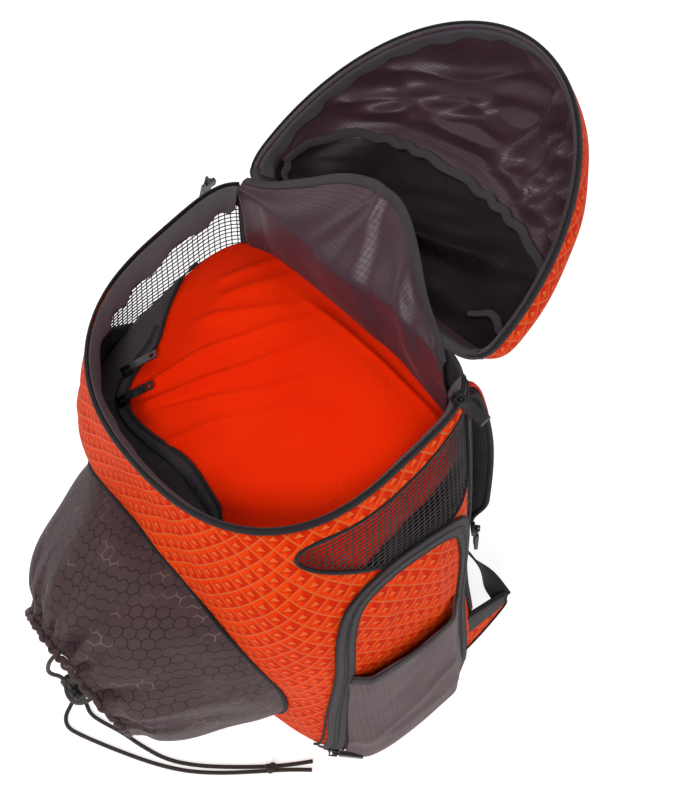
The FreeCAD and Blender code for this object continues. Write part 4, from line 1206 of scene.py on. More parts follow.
def arch_outline(offset):
    """Closed outline of the arch moved outwards (positive) or inwards."""
    line = arch_line(150)
    along = unit(np.gradient(line, axis=0))
    away = np.column_stack([-along[:, 1], along[:, 0]])
    return line + away * offset


POUCH_TOP = ((-67, 226), (-34, 216), (6, 207), (50, 210))
POUCH = np.vstack([((-81, 33), (-76, 110)), smooth_line(POUCH_TOP, 24), ((46, 30), (-20, 30))])


def pouch_lift(depth, height):
    """How far the bottle pouch stands off the bag."""
    left = depth - np.interp(height, (33, 110, 226), (-81, -76, -67))
    right = np.interp(height, (30, 210), (46, 50)) - depth
    side = ramp(np.minimum(left, right), 0, 17)
    return 4.4 + 8.2 * side * ramp(height, 24, 64)


def make_side_pocket(name, side):
    """Puffed panel, arch of zip and bottle pouch on one side."""
    inner = arch_outline(-6)
    pocket_outline = np.vstack([inner, [[46, 40], [-86, 34]]])
    flat, faces = trimmed_grid(np.arange(-100, 80, 3.0), np.arange(34, 350, 3.0),
                               inside=[pocket_outline])
    gap = nearest_on_outline(pocket_outline, flat)[1]
    y, z = flat.T
    puff = 0.9 + 3.0 * ramp(gap, 0, 34) * ramp(z, 150, 230)
    puff += Ripple(51 + side, 42)(y, z) * 0.7 * ramp(gap, 2, 20) * ramp(z, 150, 230)
    points, normals = side_at(side, y, z, puff)
    cloth = np.column_stack([y * side + 7, z + 3])
    add_cloth(f"pocket_panel_{name}", points, normals, faces, 1.6, cloth, PACK,
              ORANGE, (f"side_pocket_{name}",))
    line = arch_line(200)
    low = line[:, 1] > 46
    points, normals = side_at(side, *line[low].T, 1.9)
    band(f"pocket_zip_tape_{name}", points, normals, 17, 2.4, PACK, TAPE,
         (f"side_zip_{name}",), count=16)
    points, normals = side_at(side, *line[low].T, 3.2)
    coil(f"pocket_zip_chain_{name}", points, normals, PACK, 4.4, 2.1)
    for edge, offset in (("outer", 8.2), ("inner", -7.6)):
        rim = arch_outline(offset)
        points, normals = side_at(side, *rim[4:-4].T, 1.9)
        band(f"pocket_zip_{edge}_edge_{name}", points, normals, 2.2, 2.6, PACK,
             BLACK_TAPE, count=8)
    flat, faces = trimmed_grid(np.arange(-86, 56, 2.6), np.arange(24, 230, 2.6),
                               inside=[POUCH])
    y, z = flat.T
    lift = pouch_lift(y, z) + Ripple(61 + side, 50)(y, z) * 0.8 * ramp(z, 40, 90)
    lift += bump(z - 0.25 * y, 118, 5) * 1.4 + bump(z + 0.1 * y, 88, 6) * 1.2
    points, normals = side_at(side, y, z, lift)
    cloth = np.column_stack([y * side, z])
    add_cloth(f"bottle_pouch_cloth_{name}", points, normals, faces, 1.4, cloth, PACK,
              POUCH_CLOTH, (f"bottle_pouch_{name}",))
    top = smooth_line(POUCH_TOP, 60)
    lift = pouch_lift(*top.T)
    points, normals = side_at(side, top[:, 0], top[:, 1] - 4.5, lift + 0.3)
    band(f"pouch_binding_{name}", points, normals, 9.5, 2.6, PACK, BINDING,
         (f"pouch_hem_{name}",))


# ---------------------------------------------------------------- ball pocket
def smooth_round(values, waves=14):
    """Values round a ring, with only their first few waves kept."""
    frequency = np.abs(np.fft.fftfreq(len(values), 1 / len(values)))
    return np.real(np.fft.ifft(np.fft.fft(values) * (frequency < waves)))


AROUND_POCKET, UP_POCKET = 360, 64
POCKET_ANGLES = 2 * np.pi * np.arange(AROUND_POCKET) / AROUND_POCKET
# folds round the pocket, their height and how soon they fade away from the mouth
PLEATS = ((9, 4.4, 1.1), (17, 5.0, 1.7), (29, 3.4, 3.4), (47, 1.6, 8.0))


def pocket_relief(points, share):
    """Pleats that gather towards the mouth, on broad soft waves."""
    angle = POCKET_ANGLES
    rng = np.random.default_rng(77)
    pleats = np.zeros((UP_POCKET, AROUND_POCKET))
    for count, height, fade in PLEATS:
        start, bend = rng.uniform(0, 6.28), rng.uniform(-0.5, 0.5)
        local = 0.65 + 0.35 * np.sin(angle * rng.integers(2, 5) + rng.uniform(0, 6.28))
        place = count * angle + start + bend * share * 6 + 0.9 * np.sin(3 * angle + start)
        pleats += height * local * share ** fade * np.sin(place)
    pleats = 7.0 * np.tanh(pleats / 7.0) - 1.0 * np.abs(pleats) ** 0.8 * share
    broad = Ripple(71, 62)(points[..., 0], points[..., 2]) * 2.2
    broad = broad * np.sin(np.pi * np.clip(share, 0, 1)) ** 0.7
    tight = -3.0 * bump(share, 0.9, 0.06)
    relief = pleats * (1 - 0.55 * ramp(share, 0.93, 1.0)) + broad + tight
    return relief * ramp(share, 0.0, 0.12)


def make_pocket_cloth():
    """Gathered pocket cloth and its seam piping; returns the cloth's edge at the mouth."""
    turns = np.arange(AROUND_POCKET) / AROUND_POCKET
    seam, mouth = pocket_reach(turns)
    seam, mouth = smooth_round(seam), smooth_round(mouth)
    share = np.linspace(0, 1, UP_POCKET)[:, None]
    levels = seam[None] + (mouth - seam)[None] * share
    wide = np.broadcast_to(turns, levels.shape)
    points = POCKET.at(wide, levels)
    normals = POCKET.normal(wide, levels)
    points = points + normals * pocket_relief(points, share)[..., None]
    flat = (points - BALL_CENTRE)[..., [0, 2]]
    steps = np.linalg.norm(np.diff(points, axis=0), axis=2)
    depth = np.concatenate([np.zeros((1, AROUND_POCKET)), np.cumsum(steps, axis=0)])
    radius = 205 - depth
    cloth = (unit(flat) * radius[..., None]).reshape(-1, 2)
    turned = math.radians(12)
    cloth = cloth @ np.array([[math.cos(turned), -math.sin(turned)],
                              [math.sin(turned), math.cos(turned)]])
    add_cloth("pocket_cloth", points.reshape(-1, 3), normals.reshape(-1, 3),
              grid_faces(UP_POCKET, AROUND_POCKET, True), 1.6, cloth, PACK,
              HONEYCOMB, ("ball_pocket",))
    band("pocket_piping", points[0] + normals[0] * 0.4, normals[0], 3.6, 3.4, PACK,
         BLACK_TAPE, closed=True, count=8)
    return points[-1]


def make_pocket_hem(edge):
    """Scrunched hem round the pocket's mouth."""
    angle = POCKET_ANGLES
    centre = edge.mean(0)
    away = edge - centre
    away = unit(away - (away @ MOUTH_WAY)[:, None] * MOUTH_WAY)
    scrunch = 1.6 * np.sin(29 * angle + 2.4 * np.sin(5 * angle)) + 0.9 * np.sin(47 * angle + 1.7)
    radius = 0.6 * ((edge - centre) * away).sum(1) + 0.4 * MOUTH_RADIUS
    line = centre + away * radius[:, None] + MOUTH_WAY * (scrunch * 0.6)[:, None]
    points, faces, cloth = sweep(line, away, oval(5.6, 3.6, 12), closed=True)
    points = points.reshape(AROUND_POCKET, 12, 3)
    middle = points.mean(1, keepdims=True)
    fullness = 1 + 0.12 * np.sin(37 * angle + 3 * np.sin(4 * angle))
    points = middle + (points - middle) * fullness[:, None, None]
    hem = add_mesh("pocket_hem_scrunch", points.reshape(-1, 3), faces, PACK,
                   HONEYCOMB, ("ball_pocket_hem",), cloth)
    tidy_mesh(hem)


def make_ball_well():
    """Round hollow behind the pocket that the ball sits against."""
    azimuth = np.linspace(0, 2 * np.pi, 96, endpoint=False)
    rows = []
    for polar_angle in np.linspace(0, 1.35, 40):
        ring_points = BALL_CENTRE + 123 * np.column_stack([
            math.sin(polar_angle) * np.cos(azimuth), np.full(96, math.cos(polar_angle)),
            math.sin(polar_angle) * np.sin(azimuth)])
        inside = np.clip(ring_points[:, 0], -140, 140)
        turn, level = bag_place(0, inside, ring_points[:, 2], FRONT_TURN)
        front = BAG.at(turn, level)[:, 1] + 2.4
        ring_points[:, 1] = np.maximum(ring_points[:, 1], front)
        rows.append(ring_points)
    points = np.vstack(rows)
    faces = grid_faces(len(rows), len(azimuth), True)
    normals = faced(point_normals(points, faces), BALL_CENTRE - points)
    add_cloth("ball_well_cloth", points, normals, faces, 1.2, points[:, [0, 2]], PACK,
              DARK_LINING, ("ball_well",))


def make_knot():
    """Overhand knot where the two strands end."""
    t = np.linspace(0, 2 * np.pi, 90, endpoint=False)
    line = np.column_stack([(np.sin(t) + 2 * np.sin(2 * t)) * 1.55,
                            (np.cos(t) - 2 * np.cos(2 * t)) * 1.2, -np.sin(3 * t) * 1.9])
    spin = math.radians(52)
    line[:, :2] = line[:, :2] @ np.array([[math.cos(spin), math.sin(spin)],
                                          [-math.sin(spin), math.cos(spin)]])
    line += np.array([98.9, -136.6, 4.6])
    up = repeat(UP, 90) + np.random.default_rng(3).normal(0, 1e-3, (90, 3))
    points, faces, cloth = sweep(line, up, oval(3.9, 3.9, 8), closed=True)
    knot = add_mesh("cord_knot_turns", points, faces, PACK, CORD, ("cord_knot",), cloth)
    tidy_mesh(knot)
    return knot


# ---------------------------------------------------------------- lid
LID_MIDDLE = (0, 100.0)


def lid_outwards(turns, levels, points):
    """Directions out of the dome at its points with these turns and levels."""
    out = LID_SKIN.normal(turns, levels)
    aside = out[..., :2] * (points[..., :2] - LID_MIDDLE)
    return out * np.sign(aside.sum(-1, keepdims=True))


def lid_sheet(first, last, count, cap, inset=0.0, dome=5.5):
    """Grid of the lid's dome in its own frame from one level to another, closed by a cap."""
    turns = np.arange(300) / 300
    levels = np.linspace(first, last, count)[:, None]
    wide, tall = np.broadcast_arrays(turns[None], levels)
    points = LID_SKIN.at(wide, tall)
    normals = lid_outwards(wide, tall, points)
    points = points - normals * inset
    points, normals = list(points), list(normals)
    if cap:
        edge = points[-1]
        middle = edge.mean(0)
        way_in = normals[-1]
        for share in np.linspace(1, 0, cap)[1:]:
            layer = middle + (edge - middle) * share
            layer[:, 2] = edge[:, 2] - dome * (1 - share ** 2)
            down = np.array([0, 0, -1.0])
            mixed = way_in * share ** 2 * 0.6 + down * (1.001 - share ** 2 * 0.6)
            points.append(layer)
            normals.append(unit(mixed))
    return np.array(points), np.array(normals)


def lid_cloth(points):
    """Flat places for the dome's cloth: round the sides by length, over the top by place."""
    x, y, z = points[..., 0], points[..., 1], points[..., 2]
    away = np.stack([x, y - 100], -1)
    reach = np.linalg.norm(away, axis=-1, keepdims=True)
    return away / np.maximum(reach, 1e-6) * (reach + np.maximum(0, 60 + z)[..., None])


def make_lid_shells():
    """Orange dome of the lid: its side wall and its top."""
    for name, first, last, cap, nodes in (("lid_side_shell", 0.03, 0.36, 0, ("lid_gusset",)),
                                          ("lid_top_shell", 0.35, 1.0, 34, ("lid_top_panel",))):
        points, normals = lid_sheet(first, last, 22, cap)
        a, b = points[..., 0], points[..., 1] + points[..., 2]
        relief = (Ripple(81, 85)(a, b) + 0.6) * 0.9 * ramp(-points[..., 2], 6, 30)
        points = points + normals * relief[..., None]
        cloth = lid_cloth(points).reshape(-1, 2)
        world, ways = lid_to_pack(points).reshape(-1, 3), lid_way(normals).reshape(-1, 3)
        faces = grid_faces(points.shape[0], points.shape[1], True)
        doubled, faces, cloth = thicken(world, ways, faces, 1.6, cloth)
        piece = add_mesh(name, doubled, faces, LID, ORANGE, nodes, cloth)
        line_inside(piece, points.shape[1] * (points.shape[0] - 1))
        tidy_mesh(piece)


def lid_zip_ends():
    """Turns where the lid's zip ends, to the left and to the right of the hinge."""
    fine = np.linspace(0, 1, 1441)
    ahead = LID_SKIN.at(fine, 0.0)[:, 1] > 8
    return fine[ahead & (fine > 0.25)].min(), fine[ahead & (fine < 0.25)].max()


def make_lid_hinge(left, right):
    """Bindings along the dome's edge behind the hinge."""
    rear = np.linspace(right - 0.01, left + 0.01, 160)
    back = LID_SKIN.at(rear, 0.0)
    away = unit(LID_SKIN.at(rear, 0.08) - back)
    out = lid_outwards(rear, 0.01, back)
    for name, line, facing in (("lid_hinge_binding", back + away * 5.0 + out * 0.4, out),
                               ("lid_hinge_lip", back + away * 0.9 - out * 1.6, -away),
                               ("lid_hinge_facing", back + away * 5.6 - out * 4.6, -out)):
        band(name, lid_to_pack(line), lid_way(facing), 7.0 if "lip" in name else 11.0, 2.0,
             LID, BINDING)


def make_lid_zip(left, right):
    """Zip half round the dome's edge, with its tape outside and the wide tape inside."""
    turns = np.linspace(left, 1 + right, 340)
    edge = LID_SKIN.at(turns, 0.0)
    world, way = lid_to_pack(edge), lid_way(lid_outwards(turns, 0.01, edge))
    inwards = unit(lid_to_pack(LID_SKIN.at(turns, 0.08)) - world)
    band("lid_zip_tape", world + inwards * 3.2, way, 6.8, 2.2, LID, BLACK_TAPE,
         ("lid_zip",))
    coil("lid_zip_coil", world + inwards * 0.7 - way * 1.0, way, LID, 3.4, 2.0)
    reach = reach_of(world)
    rows, cloth = [], []
    hem = 19 + 1.4 * np.sin(reach / 5.2 + np.sin(reach / 21)) + 1.0 * np.sin(reach / 13.5)
    for share in np.linspace(0, 1, 11):
        depth = 0.8 + hem * share
        inset = 2.6 + 3.4 * min(1.0, share * 4) + 0.7 * np.sin(reach / 5.2) * share ** 2
        rows.append(world + inwards * depth[:, None] - way * inset[:, None])
        cloth.append(np.column_stack([reach, np.full(len(reach), share * 19)]))
    points = np.vstack(rows)
    faces = grid_faces(len(rows), len(turns))
    add_cloth("lid_inner_tape", points, np.tile(-way, (len(rows), 1)), faces, 1.3,
              np.vstack(cloth), LID, INNER_TAPE)


ARC_BAND = ((-131, 34), (-128, 56), (-116, 80), (-92, 97), (-55, 107), (0, 111), (50, 107),
            (92, 96), (116, 79), (128, 56), (131, 34))
# paths over the lining, and the widths of the seams laid on them
LID_SEAMS = {
    "lid_seam_arc": (ARC_BAND, 9.0),
    "lid_seam_left": (((-131, 34), (-124, 24), (-112, 17)), 8.0),
    "lid_seam_right": (((131, 34), (112, 36), (92, 40), (78, 30)), 8.0),
}
# place, heading in degrees, width, length and height of each crease
CREASES = (
    (-70, 128, 20, 7, 60, 7), (-30, 140, 8, 9, 52, 8), (-52, 150, 35, 6, 42, 5),
    (28, 176, 62, 7, 34, 8), (56, 160, 74, 6, 30, 7), (70, 128, 50, 8, 36, 8),
    (12, 138, -12, 9, 48, 6), (-96, 118, 48, 5, 30, 4), (96, 108, 80, 5, 26, 5),
    (40, 196, 85, 6, 26, 5), (-10, 186, 12, 8, 46, 4),
)


def lining_creases(x, y):
    """Heights of the creases, each with a hollow beside it."""
    creases = np.zeros_like(x)
    rng = np.random.default_rng(91)
    for x0, y0, heading, width, length, height in CREASES:
        turn = math.radians(heading)
        along = (x - x0) * math.cos(turn) + (y - y0) * math.sin(turn)
        across = -(x - x0) * math.sin(turn) + (y - y0) * math.cos(turn)
        across = across - 0.0035 * along ** 2 * rng.uniform(-1, 1)
        creases += height * bump(across, 0, width) * bump(along, 0, length)
        creases -= height * 0.5 * bump(across, -width * 1.6, width) * bump(along, 0, length * 0.8)
    return creases


def make_lining():
    """Folded satin inside the lid, with painted shadow on the hollow below the arc seam."""
    points, normals = lid_sheet(0.012, 0.95, 64, 46, inset=4.0, dome=1.5)
    x, y, z = points[..., 0], points[..., 1], points[..., 2]
    deep = ramp(-z, 12, 30)
    beyond = y - np.interp(x, *np.array(ARC_BAND, float).T)
    upper = ramp(beyond, 2, 26)
    lower = ramp(-beyond, 2, 26)
    creases = lining_creases(x, y)
    run, cross = x * 0.92 + (y + z) * 0.38, (y + z) * 0.92 - x * 0.38
    noise = 1 - np.abs(Ripple(93, 78)(run * 0.42, cross)) * 1.3
    relief = (1.15 * creases * upper + 5.0 * np.clip(noise, 0, 1) ** 1.6 * upper
              + 1.2 * Ripple(95, 40)(run * 0.4, cross) * upper) * deep
    fold = bump(y - (34 + 0.30 * (x + 66)), 0, 9) * ramp(x, -110, -40) * ramp(-x, -100, -40)
    relief += (9.0 * fold + 2.2 * Ripple(97, 42)(run * 0.35, cross) * lower) * deep
    points = points - normals * np.clip(relief + 0.6, 0, 13)[..., None]
    world, ways = lid_to_pack(points).reshape(-1, 3), lid_way(normals).reshape(-1, 3)
    cloth = lid_cloth(points).reshape(-1, 2)
    faces = grid_faces(points.shape[0], points.shape[1], True)
    doubled, faces, cloth = thicken(world, -ways, faces, 1.0, cloth)
    piece = add_mesh("lid_satin", doubled, faces, LID, LINING, ("lid_lining",), cloth)
    # Faces deep in the dome below the arc seam get the near-black satin, as painted shadow of that
    # hollow.
    piece.data.materials.append(PAINTED_SHADOW_SATIN)
    painted_shadow_faces = np.tile((beyond.ravel() < 0) & (deep.ravel() > 0.5), 2)
    for face in piece.data.polygons:
        if painted_shadow_faces[list(face.vertices)].all():
            face.material_index = 1
    tidy_mesh(piece)
    return piece


def make_lid_seams(lining):
    """Bound seams laid on the lid's lining."""
    tree = surface_tree(lining)
    for name, (path, width) in LID_SEAMS.items():
        line = smooth_line(path, 150 if "arc" in name else 30)
        laid, upwards = [], []
        for px, py in line:
            top = lid_to_pack(np.array([px, py, 60.0]))
            down = lid_to_pack(np.array([px, py, 59.0])) - top
            spot, normal, _, _ = tree.ray_cast(Vector(top), Vector(down), 400)
            if spot is None:
                continue
            laid.append(np.array(spot) + np.array(normal) * 1.0)
            upwards.append(np.array(normal) * (1 if normal.dot(Vector(down)) < 0 else -1))
        laid, upwards = smooth_rows(np.array(laid), 2), smooth_rows(np.array(upwards), 6)
        reach = reach_of(laid)
        ruffle = np.sin(reach / 3.1 + 1.4 * np.sin(reach / 11)) * 0.5
        shift = 1.2 * np.sin(reach / 4.3 + 2 * np.sin(reach / 17))
        aside = frames_along(laid, upwards)[2] * shift[:, None]
        band(name, laid + upwards * (1.5 + ruffle)[:, None] + aside, upwards, width - 1.5, 2.2,
             LID, BINDING)


def surface_tree(piece):
    """Search tree of a piece in millimetres."""
    points = [vertex.co / MM for vertex in piece.data.vertices]
    return BVHTree.FromPolygons(points, [tuple(face.vertices) for face in piece.data.polygons])


def smooth_rows(values, rounds):
    """Running mean along a line, ends kept."""
    for _ in range(rounds):
        values[1:-1] = (values[:-2] + 2 * values[1:-1] + values[2:]) / 4
    return values


FLAP_ARCH = ((-128, 0), (-104, 9), (-72, 28), (-38, 50), (-5, 60), (22, 56), (50, 38),
             (74, 18), (98, 2), (116, -14))


def make_flap():
    """Satin back wall that stands above the divider and leans into the open lid."""
    arch = smooth_line(FLAP_ARCH, 120)
    columns = 120
    x = arch[:, 0]
    top = np.column_stack([x, 92.5 + arch[:, 1] * 0.72, 464 + arch[:, 1] * 0.80])
    bottom_y = np.interp(x, (-128, -100, 60, 116), (82, 89, 89.5, 85))
    bottom = np.column_stack([x * 0.99, bottom_y - 0.5, divider_height(x, bottom_y) - 3])
    wall = np.column_stack([x, bottom_y, np.minimum(463.0, top[:, 2])])
    rows, cloth = [], []
    for share in np.linspace(0, 1, 66):
        rows.append(bottom + (wall - bottom) * min(1.0, share / 0.55)
                    + (top - wall) * max(0.0, (share - 0.55) / 0.45))
        cloth.append(np.column_stack([x, np.full(columns, share * 100)]))
    points = smooth_rows(np.array(rows), 12)
    share = np.linspace(0, 1, 66)[:, None]
    px = points[..., 0]
    crease = 46 - 40 * share ** 1.5
    arched = np.sin(np.pi * np.clip(share * 0.86 + 0.1, 0, 1))
    relief = 9.0 * ramp(crease - px, -2, 22) * ramp(px, -128, -84) * arched
    halfway = ramp(-np.abs(share - 0.5), -0.5, -0.2)
    relief += 4.5 * bump(px - crease - 30 - 12 * (1 - share), 0, 11) * halfway
    relief += Ripple(101, 60)(px, share * 100) * 1.8 * ramp(share, 0.02, 0.2)
    for start, heading in ((0, -0.9), (4, -0.35), (-4, 0.5)):
        line = px - (start + heading * (1 - share) * 90)
        relief += 2.4 * bump(line, 0, 3.5 + 7 * (1 - share)) * ramp(share, 0.35, 0.95)
    way = np.array([0, -0.8, 0.6])
    points = points + relief[..., None] * way
    flat = points.reshape(-1, 3)
    faces = grid_faces(66, columns)
    normals = faced(point_normals(flat, faces), way)
    flap = add_cloth("back_wall_satin", flat, normals, faces, 1.0, np.vstack(cloth), None,
                     LINING, ("back_sleeve", "hinge_flap"))
    edge = smooth_rows(points[-1].copy(), 2)
    top_normals = smooth_rows(normals.reshape(66, columns, 3)[-1].copy(), 6)
    hem = band("back_wall_binding", edge + top_normals * 0.4, top_normals, 8.0, 2.4, None,
               BINDING)
    for piece in (flap, hem):
        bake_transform(piece)


# ---------------------------------------------------------------- carrying side
VOXEL = 3.6
PRESSURE = 4.0
SWELL_FRAMES = 20


def swell(points, faces, held, cap):
    """Blow a closed pad up as cloth, holding the points where held is true.

    The pad is remeshed first, and no point moves further than cap millimetres.
    """
    scene = bpy.context.scene
    mesh = bpy.data.meshes.new("swelling")
    mesh.from_pydata([tuple(point * MM) for point in points], [], faces)
    pad = bpy.data.objects.new("swelling", mesh)
    scene.collection.objects.link(pad)
    remesh = pad.modifiers.new("voxels", "REMESH")
    remesh.mode = "VOXEL"
    remesh.voxel_size = VOXEL * MM
    remeshed = pad.evaluated_get(bpy.context.evaluated_depsgraph_get())
    shape = bpy.data.meshes.new_from_object(remeshed)
    pad.modifiers.clear()
    pad.data = shape
    start = np.array([vertex.co for vertex in shape.vertices]) / MM
    nearest = np.array([((points - place) ** 2).sum(1).argmin() for place in start])
    group = pad.vertex_groups.new(name="held")
    group.add([int(index) for index in np.flatnonzero(held[nearest])], 1.0, "REPLACE")
    cloth = pad.modifiers.new("cloth", "CLOTH")
    cloth.settings.use_pressure = True
    cloth.settings.uniform_pressure_force = PRESSURE
    cloth.settings.effector_weights.gravity = 0
    cloth.settings.vertex_group_mass = "held"
    cloth.point_cache.frame_start = 1
    cloth.point_cache.frame_end = SWELL_FRAMES
    for frame in range(1, SWELL_FRAMES + 1):
        scene.frame_set(frame)
    result = pad.evaluated_get(bpy.context.evaluated_depsgraph_get()).to_mesh()
    end = np.array([vertex.co for vertex in result.vertices]) / MM
    scene.frame_set(1)
    move = end - start
    length = np.maximum(np.linalg.norm(move, axis=1, keepdims=True), TINY)
    end = start + move * np.minimum(1, cap / length)
    new_faces = [tuple(face.vertices) for face in shape.polygons]
    bpy.data.objects.remove(pad)
    return end, new_faces


def soften(piece):
    """One level of subdivision."""
    piece.modifiers.new("soft", "SUBSURF").levels = 1
    piece.modifiers["soft"].render_levels = 1


STRAP_LINE = ((96, 420), (111, 402), (122, 350), (125, 300), (121, 240), (114, 196))
STRAP_MIDDLE = 93.0


STRAP_STEPS = 110
STRAP_SIDES = 28
STRAP_SHARE = np.linspace(0, 1, STRAP_STEPS)
STRAP_WIDTH = 62 - 26 * ramp(STRAP_SHARE, 0.80, 1.0)
STRAP_PLUMP = (12.5 - 5.0 * ramp(STRAP_SHARE, 0.88, 1.0)
               - 4 * ramp(1 - STRAP_SHARE, 0.93, 1.0))
ACROSS = (1.0, 0, 0)


def make_shoulder_pad(name, centre, out):
    """Padded strap with sewn channels across it."""
    profile = oval(1.0, 1.0, STRAP_SIDES)
    points, held = [], []
    for k in range(STRAP_STEPS):
        x = profile[:, 0] * STRAP_WIDTH[k]
        crown = 0.72 + 0.28 * np.sqrt(np.clip(1 - (2 * profile[:, 0]) ** 4, 0, 1))
        seam = bump(np.mod(STRAP_SHARE[k] * 7.0, 1.0), 0.5, 0.07)
        u = profile[:, 1] * STRAP_PLUMP[k] * crown * 0.84 * (1 - 0.22 * seam)
        points.append(centre[k] + np.array(ACROSS) * x[:, None] + out[k] * u[:, None])
        held.append((np.abs(profile[:, 0]) > 0.43) | (seam > 0.5)
                    | (k < 4) | (k > STRAP_STEPS - 5))
    last = (STRAP_STEPS - 1) * STRAP_SIDES
    faces = grid_faces(STRAP_STEPS, STRAP_SIDES, True)
    faces += [tuple(range(STRAP_SIDES))[::-1], tuple(range(last, last + STRAP_SIDES))]
    points, faces = swell(np.vstack(points), faces, np.concatenate(held), cap=2.6)
    strap = add_mesh(f"shoulder_pad_{name}", points, faces, PACK, AIR_MESH,
                     (f"shoulder_strap_{name}",), points[:, [0, 2]])
    soften(strap)


def make_strap_webbing(name, side, foot):
    """Webbing from the strap's foot through its ladder lock and down to the tab."""
    low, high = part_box(f"ladder_lock_{name}")
    lock = np.array((low + high) / 2) / MM
    tilt = math.radians(20)
    down = np.array([0, -math.sin(tilt), -math.cos(tilt)])
    face = np.array([0, math.cos(tilt), -math.sin(tilt)])
    start = foot - down * 8
    path = np.array([start + face * 1.5, foot + face * 3.0, lock - down * 8 + face * 3.4,
                     lock - down * 5.5, lock - down * 3 - face * 3.4,
                     foot - face * 4.5 + down * 1, start - face * 4.0])
    loop = smooth_line(path, 40)
    up = np.cross(ACROSS, np.gradient(loop, axis=0))
    band(f"strap_loop_{name}", loop, up, 20, 1.7, PACK, WEBBING)
    end = np.array([side * 147.0, 122.6, 85.0])
    path = np.array([lock - down * 7.5 - face * 3.2, lock - face * 2.6,
                     lock + down * 5.5 + face * 0.2, lock + down * 15 + face * 0.8,
                     (lock + down * 13.5) * 0.55 + end * 0.45 + [0, 2.0, -3.0], end])
    run = smooth_line(path, 70)
    twist = ramp(np.linspace(0, 1, 70), 0.45, 1.0)[:, None]
    flat_way = np.array(ACROSS) * (1 - twist) + np.array([0.25, 1.0, 0]) * twist * -side
    band(f"strap_run_{name}", run, np.cross(flat_way, np.gradient(run, axis=0)), 19, 1.7, PACK,
         WEBBING, (f"strap_webbing_{name}",))


def make_straps():
    """Padded shoulder straps with bound edges, and the webbing below them."""
    line = smooth_line(STRAP_LINE, STRAP_STEPS)
    along = unit(np.gradient(line, axis=0))
    out = np.column_stack([np.zeros(STRAP_STEPS), -along[:, 1], along[:, 0]])
    out *= np.sign(out[:, 1:2])
    across = repeat(ACROSS, STRAP_STEPS)
    for name, side in SIDES.items():
        centre = np.column_stack([np.full(STRAP_STEPS, side * STRAP_MIDDLE), line])
        make_shoulder_pad(name, centre, out)
        for edge in (-1, 1):
            rim = centre + across * (edge * STRAP_WIDTH / 2)[:, None]
            place = "outer" if edge == side else "inner"
            band(f"strap_edge_{name}_{place}", rim, out, 5.0, 4.2, PACK,
                 BLACK_TAPE, count=8)
        seam = (centre + across * (side * (STRAP_WIDTH / 2 - 7))[:, None]
                + out * (STRAP_PLUMP / 2 - 1.2)[:, None])
        band(f"strap_stripe_{name}", seam[4:-4], out[4:-4], 6.0, 2.6, PACK,
             ORANGE_PLAIN)
        make_strap_webbing(name, side, centre[-1])


WING_OUT = 147.5     # from the bag's middle to the tabs' middles
WING = ((60, 46), (92, 56), (122, 74), (124, 85), (122, 96), (92, 108), (60, 118))


def make_wings():
    """Triangular tabs at the foot that hold the webbing, orange below and grey above."""
    for name, side in SIDES.items():
        outline = np.array(WING, float)
        flat, faces = trimmed_grid(np.arange(58, 128, 2.5), np.arange(44, 120, 2.5),
                                   inside=[outline])
        sideways = (side * 1.0, 0, 0)
        gap = nearest_on_outline(outline, flat)[1]
        y, z = flat.T
        puff = 1.1 + 1.2 * ramp(gap, 0, 10)
        for part, keep, material, slot in (
                ("upper", z > 84 - 0.05 * y, GREY, "grey_fabric"),
                ("lower", z <= 90 - 0.05 * y, ORANGE, "grey_fabric")):
            chosen = [f for f in faces if keep[f].all()]
            points = np.column_stack([side * (WING_OUT + puff), y, z])
            used = np.unique(np.array(chosen))
            renumber = {old: new for new, old in enumerate(used)}
            chosen = [tuple(renumber[i] for i in f) for f in chosen]
            normals = repeat(sideways, len(used))
            lift = 0.25 if part == "upper" else 0.0
            add_cloth(f"wing_{part}_{name}", points[used] + normals * lift, normals, chosen,
                      2 * puff[used] + 2 * lift, flat[used], PACK, material,
                      (f"strap_wing_{name}",) if part == "upper" else ())
        for part, path in (("lower", WING[:4]), ("upper", WING[3:])):
            line = smooth_line(path, 40)
            edge = np.column_stack([np.full(40, side * WING_OUT), line])
            band(f"wing_{part}_edge_{name}", edge, repeat(sideways, len(edge)), 3.0, 5.4, PACK,
                 BLACK_TAPE, count=8)


def make_back_pads():
    """Two padded air-mesh columns down the back panel, with sewn channels."""
    for name, side in SIDES.items():
        a, b = np.meshgrid(np.linspace(-1, 1, 26), np.linspace(-1, 1, 130))
        across = side * 33 + a * 21
        height = 227.5 + b * 157.5
        crown = (np.clip(1 - np.abs(a) ** 3.5, 0, 1) ** 0.55
                 * np.clip(1 - np.abs(b) ** 30, 0, 1) ** 0.5)
        sewn = np.zeros_like(b)
        for place in (-0.62, -0.21, 0.21, 0.62):
            sewn = np.maximum(sewn, bump(b - 0.03 * a ** 2, place, 0.024))
        lift = 0.8 + 8.4 * crown * (1 - 0.62 * sewn)
        turn, level = bag_place(0, across, height, BACK_TURN)
        normal = BAG.normal(turn, level)
        points = (BAG.at(turn, level) + normal * lift[..., None]).reshape(-1, 3)
        normals = normal.reshape(-1, 3)
        faces = grid_faces(*a.shape)
        cloth = np.column_stack([across.ravel(), height.ravel()])
        doubled, faces, cloth = thicken(points, normals, faces, lift.ravel() - 0.35, cloth)
        held = ((sewn > 0.6) | (crown < 0.3)).ravel()
        held = np.concatenate([held, np.ones(len(held), bool)])
        doubled, faces = swell(doubled, faces, held, cap=4.5)
        pad = add_mesh(f"back_cushion_{name}", doubled, faces, PACK, AIR_MESH,
                       (f"back_pad_{name}",), doubled[:, [0, 2]])
        soften(pad)


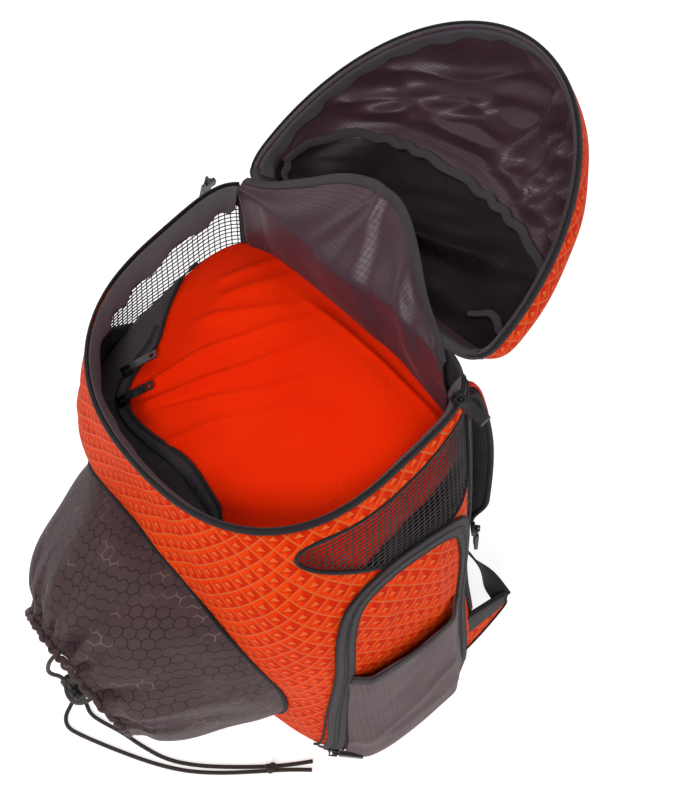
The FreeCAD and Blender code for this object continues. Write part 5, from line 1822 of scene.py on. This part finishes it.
def make_haul_loop():
    """Webbing loop above the straps, with its stitched anchor patch."""
    turn = np.linspace(0.02, math.pi - 0.02, 80)
    line = np.column_stack([33 * np.cos(turn), 101 + 18.5 * np.sin(turn), np.full(80, 403.0)])
    up = np.column_stack([np.cos(turn) / 33, np.sin(turn) / 18.5, np.zeros(80)])
    band("haul_webbing", line, up, 21, 2.6, PACK, WEBBING, ("haul_loop",))
    x, z = np.meshgrid(np.linspace(-47, 47, 60), np.linspace(389, 417, 20))
    turn, level = bag_place(0, x, z, BACK_TURN)
    normal = BAG.normal(turn, level)
    lift = 1.6 + 0.3 * np.sin(x / 3)
    points = (BAG.at(turn, level) + normal * lift[..., None]).reshape(-1, 3)
    cloth = np.column_stack([x.ravel(), z.ravel()])
    add_cloth("haul_patch", points, normal.reshape(-1, 3), grid_faces(*x.shape), 1.4, cloth,
              PACK, WEBBING)


def make_back_zip():
    """Taped zip of the flat back compartment."""
    height = np.linspace(110, 425, 150)
    depth = np.full(150, 84.0)
    turn, level = bag_place(1, depth, height, 0.1)
    normal = BAG.normal(turn, level)
    base = BAG.at(turn, level)
    band("back_zip_tape", base + normal * 1.9, normal, 14, 2.2, PACK, TAPE,
         ("back_zip",))
    coil("back_zip_chain", base + normal * 3.2, normal, PACK, 4.4, 2.1)


WHITE = (1, 1, 1, 1)
# place in metres, power in watts and size in metres
LAMPS = (("key", (1.3, -1.3, 2.1), 34, 0.8), ("fill", (-1.7, -0.9, 1.6), 11, 1.6),
         ("top", (0.1, 0.9, 2.4), 13, 1.2))


def make_stage():
    """Pale floor, soft light and a white surround."""
    bpy.ops.mesh.primitive_plane_add(size=36, location=(0, 0, -0.0005))
    floor = bpy.context.object
    floor.name = "floor"
    paper = bpy.data.materials.new("white_paper")
    paper.use_nodes = True
    for socket, value in (("Base Color", (0.6, 0.6, 0.6, 1)), ("Roughness", 0.9),
                          ("Emission Color", WHITE), ("Emission Strength", 0.7)):
        paper.node_tree.nodes["Principled BSDF"].inputs[socket].default_value = value
    floor.data.materials.append(paper)
    world = bpy.data.worlds.new("studio")
    world.use_nodes = True
    world.node_tree.nodes["Background"].inputs[0].default_value = WHITE
    world.node_tree.nodes["Background"].inputs[1].default_value = 0.3
    bpy.context.scene.world = world
    bpy.context.scene.view_settings.view_transform = "Standard"
    for name, place, energy, size in LAMPS:
        lamp = bpy.data.lights.new(name, "AREA")
        lamp.energy = energy
        lamp.size = size
        light = bpy.data.objects.new(name, lamp)
        light.location = place
        aim = Vector((0, 0, 0.3)) - Vector(place)
        light.rotation_euler = aim.to_track_quat("-Z", "Y").to_euler()
        bpy.context.scene.collection.objects.link(light)


WINDOWS = make_shell()
make_back_and_base()
make_windows(WINDOWS)
make_rim()
make_divider()
make_divider_zip()
for pocket_name, pocket_side in SIDES.items():
    make_side_pocket(pocket_name, pocket_side)
make_pocket_hem(make_pocket_cloth())
make_ball_well()
make_knot()
make_lid_shells()
make_lid_hinge(*lid_zip_ends())
make_lid_zip(*lid_zip_ends())
make_lid_seams(make_lining())
make_flap()
make_straps()
make_wings()
make_back_pads()
make_haul_loop()
make_back_zip()
make_stage()
